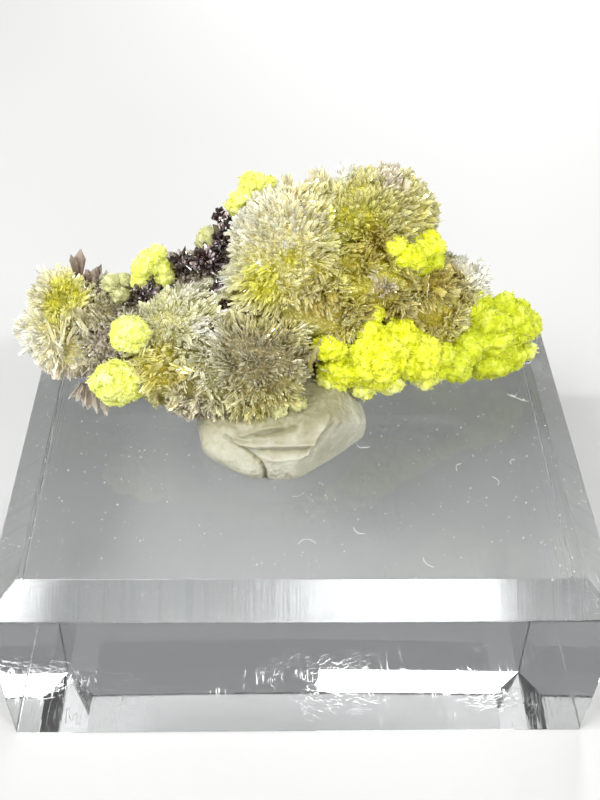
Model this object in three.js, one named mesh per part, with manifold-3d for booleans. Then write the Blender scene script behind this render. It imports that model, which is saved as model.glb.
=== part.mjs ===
// A carlhintzeite specimen: bladed crystal rosettes and yellow-green crusts, held on a clear
// bevelled acrylic block with a lump of mineral tack.
// Millimetres, +Z up, front towards -Y. The origin is the centre of the block's underside.

import * as THREE from 'three';
import { ConvexGeometry } from 'three/addons/geometries/ConvexGeometry.js';
import { mergeVertices } from 'three/addons/utils/BufferGeometryUtils.js';
import Module from 'manifold-3d';

const wasm = await Module();
wasm.setup();

// ---- Driving dimensions ----

const blockWidth = 31.75;
const blockDepth = 24.6;
const blockHeight = 12;
const bevelIn = 1.66;
const bevelDown = 1.37;

// The tack is a squeezed ball cut flat where it stands on the block.
const tackCentre = [-1.1, -0.2, 0.7];
const tackRadii = [4.75, 3.95, 3.3];
const tackDetail = 4;
const tackRest = 0.01;
// Creases pinched into the tack: planes across it, with depth and width as shares of its size.
const tackCreases = [
  { normal: [0.5, 0.3, 0.8], offset: 0.1, depth: 0.1, width: 0.1 },
  { normal: [-0.4, 0.5, 0.8], offset: -0.2, depth: 0.08, width: 0.09 },
  { normal: [0.8, -0.3, 0.4], offset: 0.45, depth: 0.08, width: 0.09 },
  { normal: [0.2, 0.1, 1], offset: 0.42, depth: 0.07, width: 0.08 },
];

// Kept between pieces that touch in the real object.
const contactGap = 0.3;
// Joins and cuts leave slivers. Faces narrower than this are smoothed away.
const smallestFacet = 0.08;
// A ball with few faces dips inside its sphere between its corners. This makes up for it.
const roundingUp = 1.08;

// The crystals on a rosette as shares of its radius: the valleys between them, their tips, and
// how far a chisel edge stops short of its patch's sides.
const valleyShare = [0.68, 0.8];
const tipShare = [0.92, 1];
const ridgeInset = 0.35;

// Rosettes over the first radius have three crystals across each side instead of two, and those
// over the second have chisel edges instead of points.
const largeRosette = 2.5;
const chiselRosette = 3.1;

// The single blades of a tuft as shares of its radius. Their feet stand off its centre.
const bladeFoot = 0.1;
const bladeWidthShare = 0.5;
const bladeThicknessShare = 0.24;
const bladeLengthSpread = 0.25;

// Every place below is [x, y, height over the block's top face].

// Radiating balls of blades. A rosette with a lean and a spread in degrees is a tuft that
// points one way.
const rosettes = [
  // Left end
  { at: [-13.5, 5.8, 4.8], radius: 2.0 },
  { at: [-15.0, 5.0, 2.9], radius: 1.75 },
  { at: [-12.5, 2.9, 2.4], radius: 2.1 },
  { at: [-10.9, 0.8, 2.4], radius: 2.2, blades: 7, lean: [0.1, -0.5, -0.8], spread: 55 },
  { at: [-12.9, 6.4, 5.4], radius: 2.1, blades: 6, lean: [0, 0.2, 1], spread: 50 },
  { at: [-11.3, 6.0, 5.0], radius: 1.6, blades: 5, lean: [0.2, 0.1, 1], spread: 65 },
  // Left of the middle
  { at: [-7.0, 2.7, 5.2], radius: 3.0 },
  { at: [-7.7, 0.9, 3.5], radius: 2.0 },
  { at: [-5.9, -0.3, 2.8], radius: 1.45 },
  // Low middle
  { at: [-2.7, 0.1, 4.6], radius: 3.15 },
  { at: [-0.3, -0.4, 3.8], radius: 1.8 },
  { at: [1.6, 1.8, 6.3], radius: 1.7 },
  // The main dome
  { at: [-0.6, 4.2, 9.6], radius: 3.4 },
  { at: [-1.8, 2.7, 7.6], radius: 2.3 },
  { at: [1.1, 5.6, 10.6], radius: 2.2, blades: 5, lean: [0, 0.2, 1], spread: 40 },
  // The crown, right of the dome
  { at: [3.7, 6.4, 10.0], radius: 3.0 },
  { at: [5.7, 7.0, 9.7], radius: 1.9 },
  { at: [2.5, 7.0, 10.9], radius: 1.9, blades: 6, lean: [0, 0.2, 1], spread: 50 },
  { at: [4.9, 7.0, 10.8], radius: 1.9, blades: 6, lean: [0.2, 0.2, 1], spread: 50 },
  // Right of the middle
  { at: [3.6, 3.6, 7.0], radius: 2.4 },
  { at: [6.9, 4.4, 5.9], radius: 2.3 },
  { at: [9.3, 6.0, 5.5], radius: 1.8 },
  { at: [10.6, 6.5, 5.0], radius: 1.6, blades: 6, lean: [0.7, 0.1, 0.6], spread: 50 },
  // The back
  { at: [-4.6, 6.9, 5.6], radius: 2.1 },
  { at: [3.0, 8.2, 7.4], radius: 2.2 },
];

// The rock that the rosettes grew on, hidden between them in front and bare at the back.
const matrixLumps = [
  { at: [-10.8, 5.2, 3.6], radii: [3.2, 2.4, 2.0] },
  { at: [-9.6, 2.6, 3.8], radii: [2.4, 1.8, 1.5] },
  { at: [-6.0, 5.6, 4.4], radii: [4.2, 3.0, 2.6] },
  { at: [0.2, 5.4, 5.6], radii: [4.4, 4.2, 3.6] },
  { at: [5.6, 6.4, 4.9], radii: [4.4, 2.8, 2.6] },
];
const matrixRoughness = 0.12;

// Groups of small blocky dark crystals in the clefts between the rosettes.
const darkGroups = [
  { at: [-8.9, 4.8, 6.0], radius: 0.9, crystals: 2 },
  { at: [-6.2, 5.3, 7.0], radius: 1.0, crystals: 3 },
  { at: [-4.3, 5.2, 8.0], radius: 1.2, crystals: 3 },
  { at: [-10.4, 2.2, 4.4], radius: 0.6, crystals: 2 },
];
const darkCrystalSize = 1.2;

// The lumps on a crust: their height as a share of its reach, and how far they spread.
const lumpHeight = 0.26;
const lumpSpread = 2.1;

// The yellow-green crusts: each is a set of lumpy masses grown into one another.
const crusts = {
  yellow_green_crust_right: [
    { at: [2.8, 0.9, 4.1], radii: [1.9, 1.5, 1.35], lumps: 12, detail: 2 },
    { at: [4.7, 1.1, 4.2], radii: [2.4, 1.9, 2.2], lumps: 16, detail: 3 },
    { at: [4.0, 1.9, 6.4], radii: [0.7, 0.65, 0.8], lumps: 6, detail: 1 },
    { at: [6.5, 1.8, 3.7], radii: [1.6, 1.5, 1.5], lumps: 8, detail: 1 },
    { at: [8.5, 2.8, 3.3], radii: [1.7, 1.4, 1.5], lumps: 10, detail: 1 },
    { at: [11.0, 3.9, 3.2], radii: [2.2, 1.8, 2.2], lumps: 16, detail: 3 },
    { at: [9.6, 4.4, 4.9], radii: [1.2, 1.2, 1.2], lumps: 8, detail: 1 },
    { at: [12.5, 4.8, 3.6], radii: [1.25, 1.2, 1.4], lumps: 10, detail: 2 },
  ],
  yellow_green_crust_upper: [
    { at: [6.3, 4.6, 7.9], radii: [1.2, 0.9, 1.0], lumps: 9, detail: 1 },
    { at: [7.3, 5.2, 8.7], radii: [0.8, 0.75, 0.85], lumps: 8, detail: 1 },
    { at: [7.4, 5.0, 7.4], radii: [0.9, 0.8, 0.7], lumps: 6, detail: 1 },
  ],
  yellow_green_tuft_top: [
    { at: [-2.6, 6.8, 11.1], radii: [0.95, 0.8, 0.8], lumps: 9, detail: 1 },
    { at: [-3.4, 6.4, 10.2], radii: [0.75, 0.7, 0.8], lumps: 8, detail: 1 },
  ],
  yellow_green_tuft_left: [
    { at: [-8.7, 5.0, 7.2], radii: [0.85, 0.8, 0.8], lumps: 9, detail: 1 },
    { at: [-7.8, 5.0, 6.9], radii: [0.7, 0.65, 0.7], lumps: 8, detail: 1 },
    { at: [-9.2, 4.6, 6.5], radii: [0.5, 0.5, 0.6], lumps: 6, detail: 1 },
  ],
  yellow_green_ball_middle: [
    { at: [-9.2, 0.9, 6.0], radii: [1.05, 0.95, 0.85], lumps: 11, detail: 2 },
  ],
  yellow_green_ball_lower: [
    { at: [-10.0, -0.3, 3.6], radii: [1.3, 1.15, 1.15], lumps: 14, detail: 2 },
  ],
};

// ---- Chance, the same on every run ----

function seededRandom(seed) {
  let state = seed;
  return () => {
    state = (state + 0x6d2b79f5) | 0;
    let t = Math.imul(state ^ (state >>> 15), 1 | state);
    t = (t + Math.imul(t ^ (t >>> 7), 61 | t)) ^ t;
    return ((t ^ (t >>> 14)) >>> 0) / 4294967296;
  };
}

const random = seededRandom(7);

function between(low, high) {
  return low + (high - low) * random();
}

// ---- Solids ----

// A geometry with its corners shared between its faces.
function merged(geometry) {
  const bare = geometry.clone();
  bare.deleteAttribute('normal');
  bare.deleteAttribute('uv');
  return mergeVertices(bare);
}

// A closed geometry as a solid that can be joined and cut.
function solidOf(geometry) {
  const closed = merged(geometry);
  return new wasm.Manifold(new wasm.Mesh({
    numProp: 3,
    vertProperties: new Float32Array(closed.attributes.position.array),
    triVerts: new Uint32Array(closed.index.array),
  }));
}

function joined(solids) {
  return solids.reduce((whole, solid) => whole.add(solid));
}

// Joining and cutting can leave loose crumbs and sealed bubbles. Only the body itself is kept.
function largestBody(solid) {
  return solid.decompose().reduce((best, body) => (body.volume() > best.volume() ? body : best));
}

function geometryOf(solid) {
  const mesh = largestBody(solid.simplify(smallestFacet)).getMesh();
  const geometry = new THREE.BufferGeometry();
  geometry.setAttribute('position', new THREE.BufferAttribute(mesh.vertProperties, 3));
  geometry.setIndex(new THREE.BufferAttribute(mesh.triVerts, 1));
  const faceted = geometry.toNonIndexed();
  faceted.computeVertexNormals();
  return faceted;
}

function overBlock([x, y, height]) {
  return new THREE.Vector3(x, y, blockHeight + height);
}

// ---- Directions ----

const goldenAngle = Math.PI * (3 - Math.sqrt(5));

// Directions spread evenly over a cap of the sphere round the lean, each nudged a little.
function spreadDirections(count, lean = [0, 0, 1], spread = 180, nudge = 0.18) {
  const turn = new THREE.Quaternion().setFromUnitVectors(
    new THREE.Vector3(0, 0, 1),
    new THREE.Vector3(...lean).normalize(),
  );
  const capDepth = 1 - Math.cos(THREE.MathUtils.degToRad(spread));
  return Array.from({ length: count }, (_, i) => {
    const z = 1 - (capDepth * (i + 0.5)) / count;
    const rim = Math.sqrt(1 - z * z);
    const angle = i * goldenAngle;
    return new THREE.Vector3(rim * Math.cos(angle), rim * Math.sin(angle), z)
      .add(new THREE.Vector3(between(-nudge, nudge), between(-nudge, nudge), between(-nudge, nudge)))
      .normalize()
      .applyQuaternion(turn);
  });
}

// ---- Crystals ----

// The four corners of each square patch on a ball, with valleys of uneven depth between them.
function ballPatches(radius, patchesAcross) {
  const net = merged(new THREE.BoxGeometry(2, 2, 2, patchesAcross, patchesAcross, patchesAcross));
  const evenly = (share) => Math.tan(0.25 * Math.PI * share);
  const corners = [];
  for (let i = 0; i < net.attributes.position.count; i += 1) {
    const corner = new THREE.Vector3().fromBufferAttribute(net.attributes.position, i);
    corner.set(evenly(corner.x), evenly(corner.y), evenly(corner.z));
    corners.push(corner.setLength(radius * between(...valleyShare)));
  }
  const patches = [];
  for (let i = 0; i < net.index.count; i += 6) {
    const [a, b, d, , c] = Array.from(net.index.array.slice(i, i + 5), (index) => corners[index]);
    patches.push(random() < 0.5 ? [a, b, c, d] : [b, c, d, a]);
  }
  return patches;
}

// A patch that rises to a chisel edge from side pq to side rs.
function chiselCrystal([p, q, r, s], radius) {
  const middle = p.clone().add(q).add(r).add(s).multiplyScalar(0.25);
  const start = p.clone().lerp(q, 0.5).lerp(middle, ridgeInset);
  const end = r.clone().lerp(s, 0.5).lerp(middle, ridgeInset);
  start.setLength(radius * between(...tipShare));
  end.setLength(radius * between(...tipShare));
  return [p, q, start, r, s, end, q, r, end, q, end, start, s, p, start, s, start, end];
}

// A patch that rises to a point a little off its middle.
function pointedCrystal([p, q, r, s], radius) {
  const acrossOne = p.clone().lerp(r, between(0.35, 0.65));
  const acrossOther = q.clone().lerp(s, between(0.35, 0.65));
  const tip = acrossOne.lerp(acrossOther, 0.5).setLength(radius * between(...tipShare));
  return [p, q, tip, q, r, tip, r, s, tip, s, p, tip];
}

// A ball covered in crystals: chisel-edged on the largest rosettes, pointed on the others.
function crystalBallGeometry(radius) {
  const crystal = radius > chiselRosette ? chiselCrystal : pointedCrystal;
  const patches = ballPatches(radius, radius > largeRosette ? 3 : 2);
  const corners = patches.flatMap((patch) => crystal(patch, radius));
  return new THREE.BufferGeometry().setFromPoints(corners);
}

const up = new THREE.Vector3(0, 1, 0);

// A flat spear-shaped blade with eight faces, from its foot to its point along the way given.
function bladeSolid(centre, way, radius) {
  const length = radius * (between(1 - bladeLengthSpread, 1) - bladeFoot);
  const blade = new THREE.OctahedronGeometry(0.5);
  blade.translate(0, 0.5, 0);
  blade.scale(radius * bladeWidthShare * between(0.8, 1.2), length, radius * bladeThicknessShare);
  blade.translate(0, bladeFoot * radius, 0);
  blade.rotateY(between(0, Math.PI));
  blade.applyQuaternion(new THREE.Quaternion().setFromUnitVectors(up, way));
  blade.translate(centre.x, centre.y, centre.z);
  return solidOf(blade);
}

// A whole ball of crystals, or a tuft of single blades where the entry gives blades.
function rosetteSolid({ at, radius, blades, lean, spread }) {
  const centre = overBlock(at);
  if (blades) {
    const ways = spreadDirections(blades, lean, spread);
    return joined(ways.map((way) => bladeSolid(centre, way, radius)));
  }
  const ball = crystalBallGeometry(radius);
  ball.rotateX(between(0, Math.PI));
  ball.rotateY(between(0, Math.PI));
  ball.translate(centre.x, centre.y, centre.z);
  return solidOf(ball);
}

function matrixSolid({ at, radii }) {
  const lump = merged(new THREE.IcosahedronGeometry(1, 1));
  const positions = lump.attributes.position;
  for (let i = 0; i < positions.count; i += 1) {
    const corner = new THREE.Vector3().fromBufferAttribute(positions, i);
    corner.setLength(between(1 - matrixRoughness, 1 + matrixRoughness));
    positions.setXYZ(i, corner.x, corner.y, corner.z);
  }
  lump.scale(...radii);
  lump.translate(...overBlock(at));
  return solidOf(lump);
}

function darkCrystalSolid(centre, size) {
  const crystal = new THREE.BoxGeometry(size, 0.8 * size, 0.6 * size);
  crystal.rotateX(between(0, Math.PI));
  crystal.rotateY(between(0, Math.PI));
  crystal.rotateZ(between(0, Math.PI));
  crystal.translate(centre.x, centre.y, centre.z);
  return solidOf(crystal);
}

function darkGroupSolids({ at, radius, crystals }) {
  return spreadDirections(crystals, [-0.2, -0.5, 0.8], 120).map((direction) => {
    const centre = overBlock(at).addScaledVector(direction, 0.7 * radius);
    return darkCrystalSolid(centre, darkCrystalSize * between(0.8, 1.3));
  });
}

// ---- Crusts ----

// A mass covered in round lumps, like a cauliflower.
function lumpySolid({ at, radii, lumps, detail }) {
  const lumpAngle = lumpSpread / Math.sqrt(lumps);
  const lumpCentres = spreadDirections(lumps);
  const geometry = new THREE.IcosahedronGeometry(1, detail);
  const positions = geometry.attributes.position;
  const point = new THREE.Vector3();
  for (let i = 0; i < positions.count; i += 1) {
    point.fromBufferAttribute(positions, i).normalize();
    const nearest = Math.min(...lumpCentres.map((lump) => lump.angleTo(point)));
    const rise = Math.sqrt(Math.max(0, 1 - (nearest / lumpAngle) ** 2));
    point.setLength(1 - lumpHeight + lumpHeight * rise);
    positions.setXYZ(i, point.x, point.y, point.z);
  }
  geometry.scale(...radii);
  geometry.translate(...overBlock(at));
  return solidOf(geometry);
}

// The room that a crust's neighbours leave for one of its masses.
function roomSolid({ at, radii }) {
  const room = new THREE.IcosahedronGeometry(1, 1);
  room.scale(...radii.map((radius) => roundingUp * radius + contactGap));
  room.translate(...overBlock(at));
  return solidOf(room);
}

const crustRoom = joined(Object.values(crusts).flat().map(roomSolid));

// ---- The mass of rosettes ----

function clusterSolid() {
  const grown = joined([
    ...matrixLumps.map(matrixSolid),
    ...rosettes.map(rosetteSolid),
    ...darkGroups.flatMap(darkGroupSolids),
  ]);
  return grown.subtract(crustRoom);
}

// ---- Tack ----

// How far a point of the tack is drawn in by its creases, as a share of its reach.
function creaseAt(point) {
  return tackCreases.reduce((deepest, { normal, offset, depth, width }) => {
    const away = (point.dot(new THREE.Vector3(...normal).normalize()) - offset) / width;
    return Math.max(deepest, depth * Math.exp(-away * away));
  }, 0);
}

function tackGeometry() {
  const geometry = new THREE.IcosahedronGeometry(1, tackDetail);
  const positions = geometry.attributes.position;
  const point = new THREE.Vector3();
  for (let i = 0; i < positions.count; i += 1) {
    point.fromBufferAttribute(positions, i).normalize();
    const reach = 1 - creaseAt(point);
    point.multiply(new THREE.Vector3(...tackRadii)).multiplyScalar(reach);
    positions.setXYZ(i, point.x, point.y, point.z);
  }
  geometry.translate(...overBlock(tackCentre));
  return geometry;
}

// The rosettes and crusts are pressed into the tack, and its foot is flat on the block.
function tackSolid() {
  const rosetteRoom = joined(
    rosettes.map(({ at, radius }) => roomSolid({ at, radii: [radius, radius, radius] })),
  );
  const foot = new THREE.BoxGeometry(blockWidth, blockDepth, blockHeight);
  foot.translate(0, 0, 0.5 * blockHeight + tackRest);
  return solidOf(tackGeometry()).subtract(solidOf(foot)).subtract(rosetteRoom).subtract(crustRoom);
}

// ---- Block ----

function rectangleAt(width, depth, height) {
  return [[-1, -1], [1, -1], [1, 1], [-1, 1]].map(
    ([x, y]) => new THREE.Vector3(0.5 * width * x, 0.5 * depth * y, height),
  );
}

function blockGeometry() {
  return new ConvexGeometry([
    ...rectangleAt(blockWidth, blockDepth, 0),
    ...rectangleAt(blockWidth, blockDepth, blockHeight - bevelDown),
    ...rectangleAt(blockWidth - 2 * bevelIn, blockDepth - 2 * bevelIn, blockHeight),
  ]);
}

// ---- Materials ----

const clearAcrylic = () => new THREE.MeshStandardMaterial({
  color: 0xdfe6ea, roughness: 0.05, metalness: 0, transparent: true, opacity: 0.35,
});
const creamTack = () => new THREE.MeshStandardMaterial({
  color: 0xd9d3bf, roughness: 0.55, metalness: 0,
});
const paleCrystal = () => new THREE.MeshStandardMaterial({
  color: 0xc9bf8c, roughness: 0.25, metalness: 0,
});
const yellowGreenCrust = () => new THREE.MeshStandardMaterial({
  color: 0xd6e01a, roughness: 0.5, metalness: 0,
});

// ---- The specimen ----

function piece(name, geometry, material) {
  const mesh = new THREE.Mesh(geometry, material);
  mesh.name = name;
  return mesh;
}

const specimen = new THREE.Group();
specimen.add(piece('display_block', blockGeometry(), clearAcrylic()));

specimen.add(piece('mineral_tack', geometryOf(tackSolid()), creamTack()));
specimen.add(piece('crystal_cluster', geometryOf(clusterSolid()), paleCrystal()));
for (const [name, masses] of Object.entries(crusts)) {
  specimen.add(piece(name, geometryOf(joined(masses.map(lumpySolid))), yellowGreenCrust()));
}

export default specimen;
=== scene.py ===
# Looks of a carlhintzeite specimen: rosettes of thin glassy laths with lumpy yellow-green
# crusts and dark crystals, held with mineral tack on a clear bevelled acrylic block.
# The mesh code works in millimetres, +Z up, front towards -Y, from the centre of the block's
# underside. Each piece is turned into metres as it is made.
import math
from collections import namedtuple

import bmesh
import bpy
import numpy as np
from mathutils import Matrix, Vector, noise


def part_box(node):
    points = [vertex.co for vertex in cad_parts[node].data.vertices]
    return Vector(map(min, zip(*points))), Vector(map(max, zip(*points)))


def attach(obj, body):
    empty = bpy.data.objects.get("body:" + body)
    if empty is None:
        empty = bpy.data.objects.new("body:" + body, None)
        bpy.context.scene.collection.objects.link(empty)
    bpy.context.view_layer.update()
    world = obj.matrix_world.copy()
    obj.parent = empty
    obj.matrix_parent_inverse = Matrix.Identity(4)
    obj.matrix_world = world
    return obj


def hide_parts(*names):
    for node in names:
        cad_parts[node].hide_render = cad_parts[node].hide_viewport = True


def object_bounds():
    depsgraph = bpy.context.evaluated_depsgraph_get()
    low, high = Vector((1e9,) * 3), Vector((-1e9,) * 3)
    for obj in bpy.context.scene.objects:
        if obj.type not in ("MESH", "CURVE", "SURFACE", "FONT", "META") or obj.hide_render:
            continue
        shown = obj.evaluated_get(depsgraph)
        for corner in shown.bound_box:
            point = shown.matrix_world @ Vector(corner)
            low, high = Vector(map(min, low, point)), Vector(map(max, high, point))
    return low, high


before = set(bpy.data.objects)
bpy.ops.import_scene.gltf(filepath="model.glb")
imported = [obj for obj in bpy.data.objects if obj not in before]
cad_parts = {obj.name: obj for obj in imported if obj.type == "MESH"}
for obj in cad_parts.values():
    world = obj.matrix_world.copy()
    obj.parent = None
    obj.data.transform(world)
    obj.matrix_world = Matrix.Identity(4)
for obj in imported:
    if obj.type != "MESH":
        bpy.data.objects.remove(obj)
cad_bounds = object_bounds()

MM = 0.001
block_low, block_high = (np.array(corner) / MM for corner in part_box("display_block"))
BLOCK_TOP = block_high[2]
# Blades and crusts end this far inside the solids' bounds.
EDGE_KEPT = 0.05
piece_low = np.array(cad_bounds[0]) / MM + EDGE_KEPT
piece_high = np.array(cad_bounds[1]) / MM - EDGE_KEPT


# ---- Camera, floor and lights ----

CAMERA_PLACE = (-1.62, -41.8, 53.73)
CAMERA_TURN = math.radians(2.11)
CAMERA_DIP = math.radians(43.49)
CAMERA_ROLL = math.radians(-1.59)
CAMERA_LENS = 46.7

FLOOR_HALF = 600
FLOOR_DROP = 0.02

# Place, size and power in watts of each soft light. All of them point at the specimen.
LIGHTS = {
    "key_light": ((-110, -80, 190), 70, 0.34),
    "side_light": ((150, -60, 110), 60, 0.14),
    "back_light": ((40, 170, 75), 60, 0.25),
    "front_light": ((10, -170, 60), 40, 0.08),
    "left_spark_light": ((-160, -20, 120), 10, 0.2),
    "right_spark_light": ((90, -120, 170), 10, 0.16),
}
LIGHT_TARGET = (0, 2, 18)
WORLD_LIGHT = 0.22


def add_camera():
    dip = Vector((
        math.sin(CAMERA_TURN) * math.cos(CAMERA_DIP),
        math.cos(CAMERA_TURN) * math.cos(CAMERA_DIP),
        -math.sin(CAMERA_DIP),
    ))
    level = Vector((math.cos(CAMERA_TURN), -math.sin(CAMERA_TURN), 0))
    under = dip.cross(level)
    right = math.cos(CAMERA_ROLL) * level + math.sin(CAMERA_ROLL) * under
    down = math.cos(CAMERA_ROLL) * under - math.sin(CAMERA_ROLL) * level
    data = bpy.data.cameras.new("camera")
    data.lens = CAMERA_LENS
    data.clip_start = 1 * MM
    data.clip_end = 5000 * MM
    camera = bpy.data.objects.new("camera", data)
    camera.matrix_world = Matrix.LocRotScale(
        Vector(CAMERA_PLACE) * MM, Matrix((right, -down, -dip)).transposed(), None
    )
    bpy.context.scene.collection.objects.link(camera)
    bpy.context.scene.camera = camera


def add_lights():
    for name, (place, size, power) in LIGHTS.items():
        data = bpy.data.lights.new(name, "AREA")
        data.size = size * MM
        data.energy = power
        light = bpy.data.objects.new(name, data)
        light.location = Vector(place) * MM
        aim = Vector(LIGHT_TARGET) - Vector(place)
        light.rotation_euler = aim.to_track_quat("-Z", "Y").to_euler()
        bpy.context.scene.collection.objects.link(light)
    world = bpy.data.worlds.new("studio")
    world.use_nodes = True
    background = world.node_tree.nodes["Background"]
    background.inputs["Color"].default_value = (0.98, 0.98, 1.0, 1)
    background.inputs["Strength"].default_value = WORLD_LIGHT
    bpy.context.scene.world = world
    bpy.context.scene.view_settings.view_transform = "Standard"


# ---- Chance and vectors ----


def unit(vectors):
    return vectors / np.linalg.norm(vectors, axis=-1, keepdims=True)


def smooth_step(low, high, value):
    share = np.clip((value - low) / (high - low), 0, 1)
    return share * share * (3 - 2 * share)


def blend(first, second, share):
    return first + (second - first) * share


def over_block(place):
    """A place given by its height over the block's top."""
    return np.array(place, float) + (0, 0, BLOCK_TOP)


def spread_directions(count, chance, jitter=0.35):
    """Directions spread evenly round a ball, each moved a little by chance."""
    steps = np.arange(count) + 0.5
    height = 1 - 2 * steps / count
    ring = np.sqrt(1 - height**2)
    turn = steps * math.pi * (3 - math.sqrt(5)) + chance.uniform(0, 2 * math.pi)
    even = np.stack([ring * np.cos(turn), ring * np.sin(turn), height], axis=1)
    spacing = math.sqrt(4 * math.pi / count)
    return unit(even + chance.normal(0, jitter * spacing, (count, 3)))


def sideways(directions, chance):
    """A chance direction square to each given one."""
    return unit(np.cross(directions, chance.normal(0, 1, directions.shape)))


def hills(points, size, seed):
    """Smooth noise from about -1 to 1 at each point, its hills about one size apart."""
    shift = Vector((seed * 17.3, seed * 5.1, seed * -9.7))
    return np.array([noise.noise(Vector(point) / size + shift) for point in points])


def relief(points, layers):
    """Layers of hills on top of each other: the height, size and seed of each."""
    return sum(height * hills(points, size, seed) for height, size, seed in layers)


def inside(points, centre, radii):
    return (((points - centre) / radii) ** 2).sum(axis=-1) < 1


# ---- Shader tools ----


def put_in(tree, node, values):
    """Sets a node's inputs, each to a plain value or to another node's output."""
    for label, value in values.items():
        if isinstance(value, bpy.types.NodeSocket):
            tree.links.new(value, node.inputs[label])
        else:
            node.inputs[label].default_value = value


def add_node(tree, kind, inputs=None, **settings):
    node = tree.nodes.new("ShaderNode" + kind)
    for label, value in settings.items():
        setattr(node, label, value)
    put_in(tree, node, inputs or {})
    return node


def calculate(tree, operation, first, second=0.0):
    return add_node(tree, "Math", {0: first, 1: second}, operation=operation).outputs[0]


def add_up(tree, first, second):
    return calculate(tree, "ADD", first, second)


def take_off(tree, first, second):
    return calculate(tree, "SUBTRACT", first, second)


def multiply(tree, first, second):
    return calculate(tree, "MULTIPLY", first, second)


def remap(tree, value, low, high, new_low=0.0, new_high=1.0):
    inputs = {"Value": value, 1: low, 2: high, 3: new_low, 4: new_high}
    return add_node(tree, "MapRange", inputs).outputs[0]


def mix_colours(tree, share, first, second, blend_type="MIX"):
    inputs = {0: share, 6: first, 7: second}
    return add_node(tree, "Mix", inputs, data_type="RGBA", blend_type=blend_type).outputs[2]


def tint_with(tree, first, second):
    return mix_colours(tree, 1.0, first, second, "MULTIPLY")


def noise_over(tree, place, scale, detail=2.0, roughness=0.5, distortion=0.0):
    """Soft noise from 0 to 1. The scale is how many spots fit in a millimetre."""
    inputs = {
        "Vector": place,
        "Scale": scale,
        "Detail": detail,
        "Roughness": roughness,
        "Distortion": distortion,
    }
    return add_node(tree, "TexNoise", inputs).outputs["Fac"]


def own_value(tree, label, output="Color"):
    """A value that the mesh carries at its corners."""
    return add_node(tree, "Attribute", attribute_name=label).outputs[output]


def opaque(colour):
    return (*colour, 1.0)


def millimetres(tree):
    """Places on the piece in millimetres."""
    place = add_node(tree, "TexCoord").outputs["Object"]
    return add_node(
        tree, "VectorMath", {0: place, "Scale": 1 / MM}, operation="SCALE"
    ).outputs[0]


def new_group(name, inputs, outputs):
    """A shader node group with its named inputs, given by their first values, and outputs."""
    kinds = {float: "NodeSocketFloat", tuple: "NodeSocketColor", list: "NodeSocketVector"}
    group = bpy.data.node_groups.new(name, "ShaderNodeTree")
    for label, value in inputs.items():
        socket = group.interface.new_socket(label, in_out="INPUT", socket_type=kinds[type(value)])
        socket.default_value = value
    for label, kind in outputs.items():
        group.interface.new_socket(label, in_out="OUTPUT", socket_type=kinds[kind])
    return group, group.nodes.new("NodeGroupInput").outputs, group.nodes.new("NodeGroupOutput").inputs


def use_group(tree, group, inputs):
    node = tree.nodes.new("ShaderNodeGroup")
    node.node_tree = group
    put_in(tree, node, inputs)
    return node.outputs


def grain_group():
    """Fine roughness of a surface: a height and a mask of its high spots."""
    group, given, result = new_group(
        "Fine grain",
        {"Place": [0.0, 0.0, 0.0], "Grain Size": 0.2, "Softness": 0.5},
        {"Height": float, "High Spots": float},
    )
    scale = calculate(group, "DIVIDE", 1.0, given["Grain Size"])
    coarse = noise_over(group, given["Place"], scale, 5.0, given["Softness"])
    cells = add_node(group, "TexVoronoi", {"Vector": given["Place"], "Scale": scale})
    height = take_off(group, coarse, multiply(group, cells.outputs["Distance"], 0.35))
    group.links.new(height, result["Height"])
    group.links.new(remap(group, height, 0.3, 0.5), result["High Spots"])
    return group


def mottle_group():
    """Patchy colour: two colours in soft patches, with a third in small spots."""
    group, given, result = new_group(
        "Mottled colour",
        {
            "Place": [0.0, 0.0, 0.0],
            "Patch Size": 1.0,
            "First Colour": (0.5, 0.5, 0.5, 1.0),
            "Second Colour": (0.4, 0.4, 0.4, 1.0),
            "Spot Colour": (0.2, 0.2, 0.2, 1.0),
            "Spot Share": 0.2,
        },
        {"Colour": tuple},
    )
    scale = calculate(group, "DIVIDE", 1.0, given["Patch Size"])
    patches = remap(group, noise_over(group, given["Place"], scale, 3.0), 0.38, 0.62)
    spots = noise_over(group, given["Place"], multiply(group, scale, 3.7))
    spot_high = take_off(group, 0.85, multiply(group, given["Spot Share"], 0.6))
    spot = remap(group, spots, take_off(group, spot_high, 0.12), spot_high)
    patched = mix_colours(group, patches, given["First Colour"], given["Second Colour"])
    group.links.new(mix_colours(group, spot, patched, given["Spot Colour"]), result["Colour"])
    return group


SCRATCH_TURNS = (0.35, 1.3, 2.4)
SCRATCH_STRETCH = 0.03
SCRATCH_WIDTH = 0.006


def scratch_group():
    """Hair-fine scratches lying every way over a polished face, as a mask."""
    group, given, result = new_group(
        "Fine scratches",
        {"Place": [0.0, 0.0, 0.0], "Spacing": 2.0, "Amount": 0.5},
        {"Mask": float},
    )
    scale = calculate(group, "DIVIDE", 3.0, given["Spacing"])
    scratches = 0.0
    for turn in SCRATCH_TURNS:
        turned = add_node(
            group,
            "Mapping",
            {
                "Vector": given["Place"],
                "Rotation": (0.4 * turn, 0.7 * turn, turn),
                "Scale": (1, SCRATCH_STRETCH, 1),
            },
        ).outputs[0]
        wandering = noise_over(group, turned, scale, 1.0, distortion=0.4)
        away = calculate(group, "ABSOLUTE", take_off(group, wandering, 0.5))
        scratch = remap(group, away, 0.0, SCRATCH_WIDTH, 1.0, 0.0)
        scratches = calculate(group, "MAXIMUM", scratches, scratch)
    worn = take_off(group, 0.7, multiply(group, given["Amount"], 0.4))
    here = remap(group, noise_over(group, given["Place"], 0.25), worn, 0.75)
    group.links.new(multiply(group, scratches, here), result["Mask"])
    return group


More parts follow.
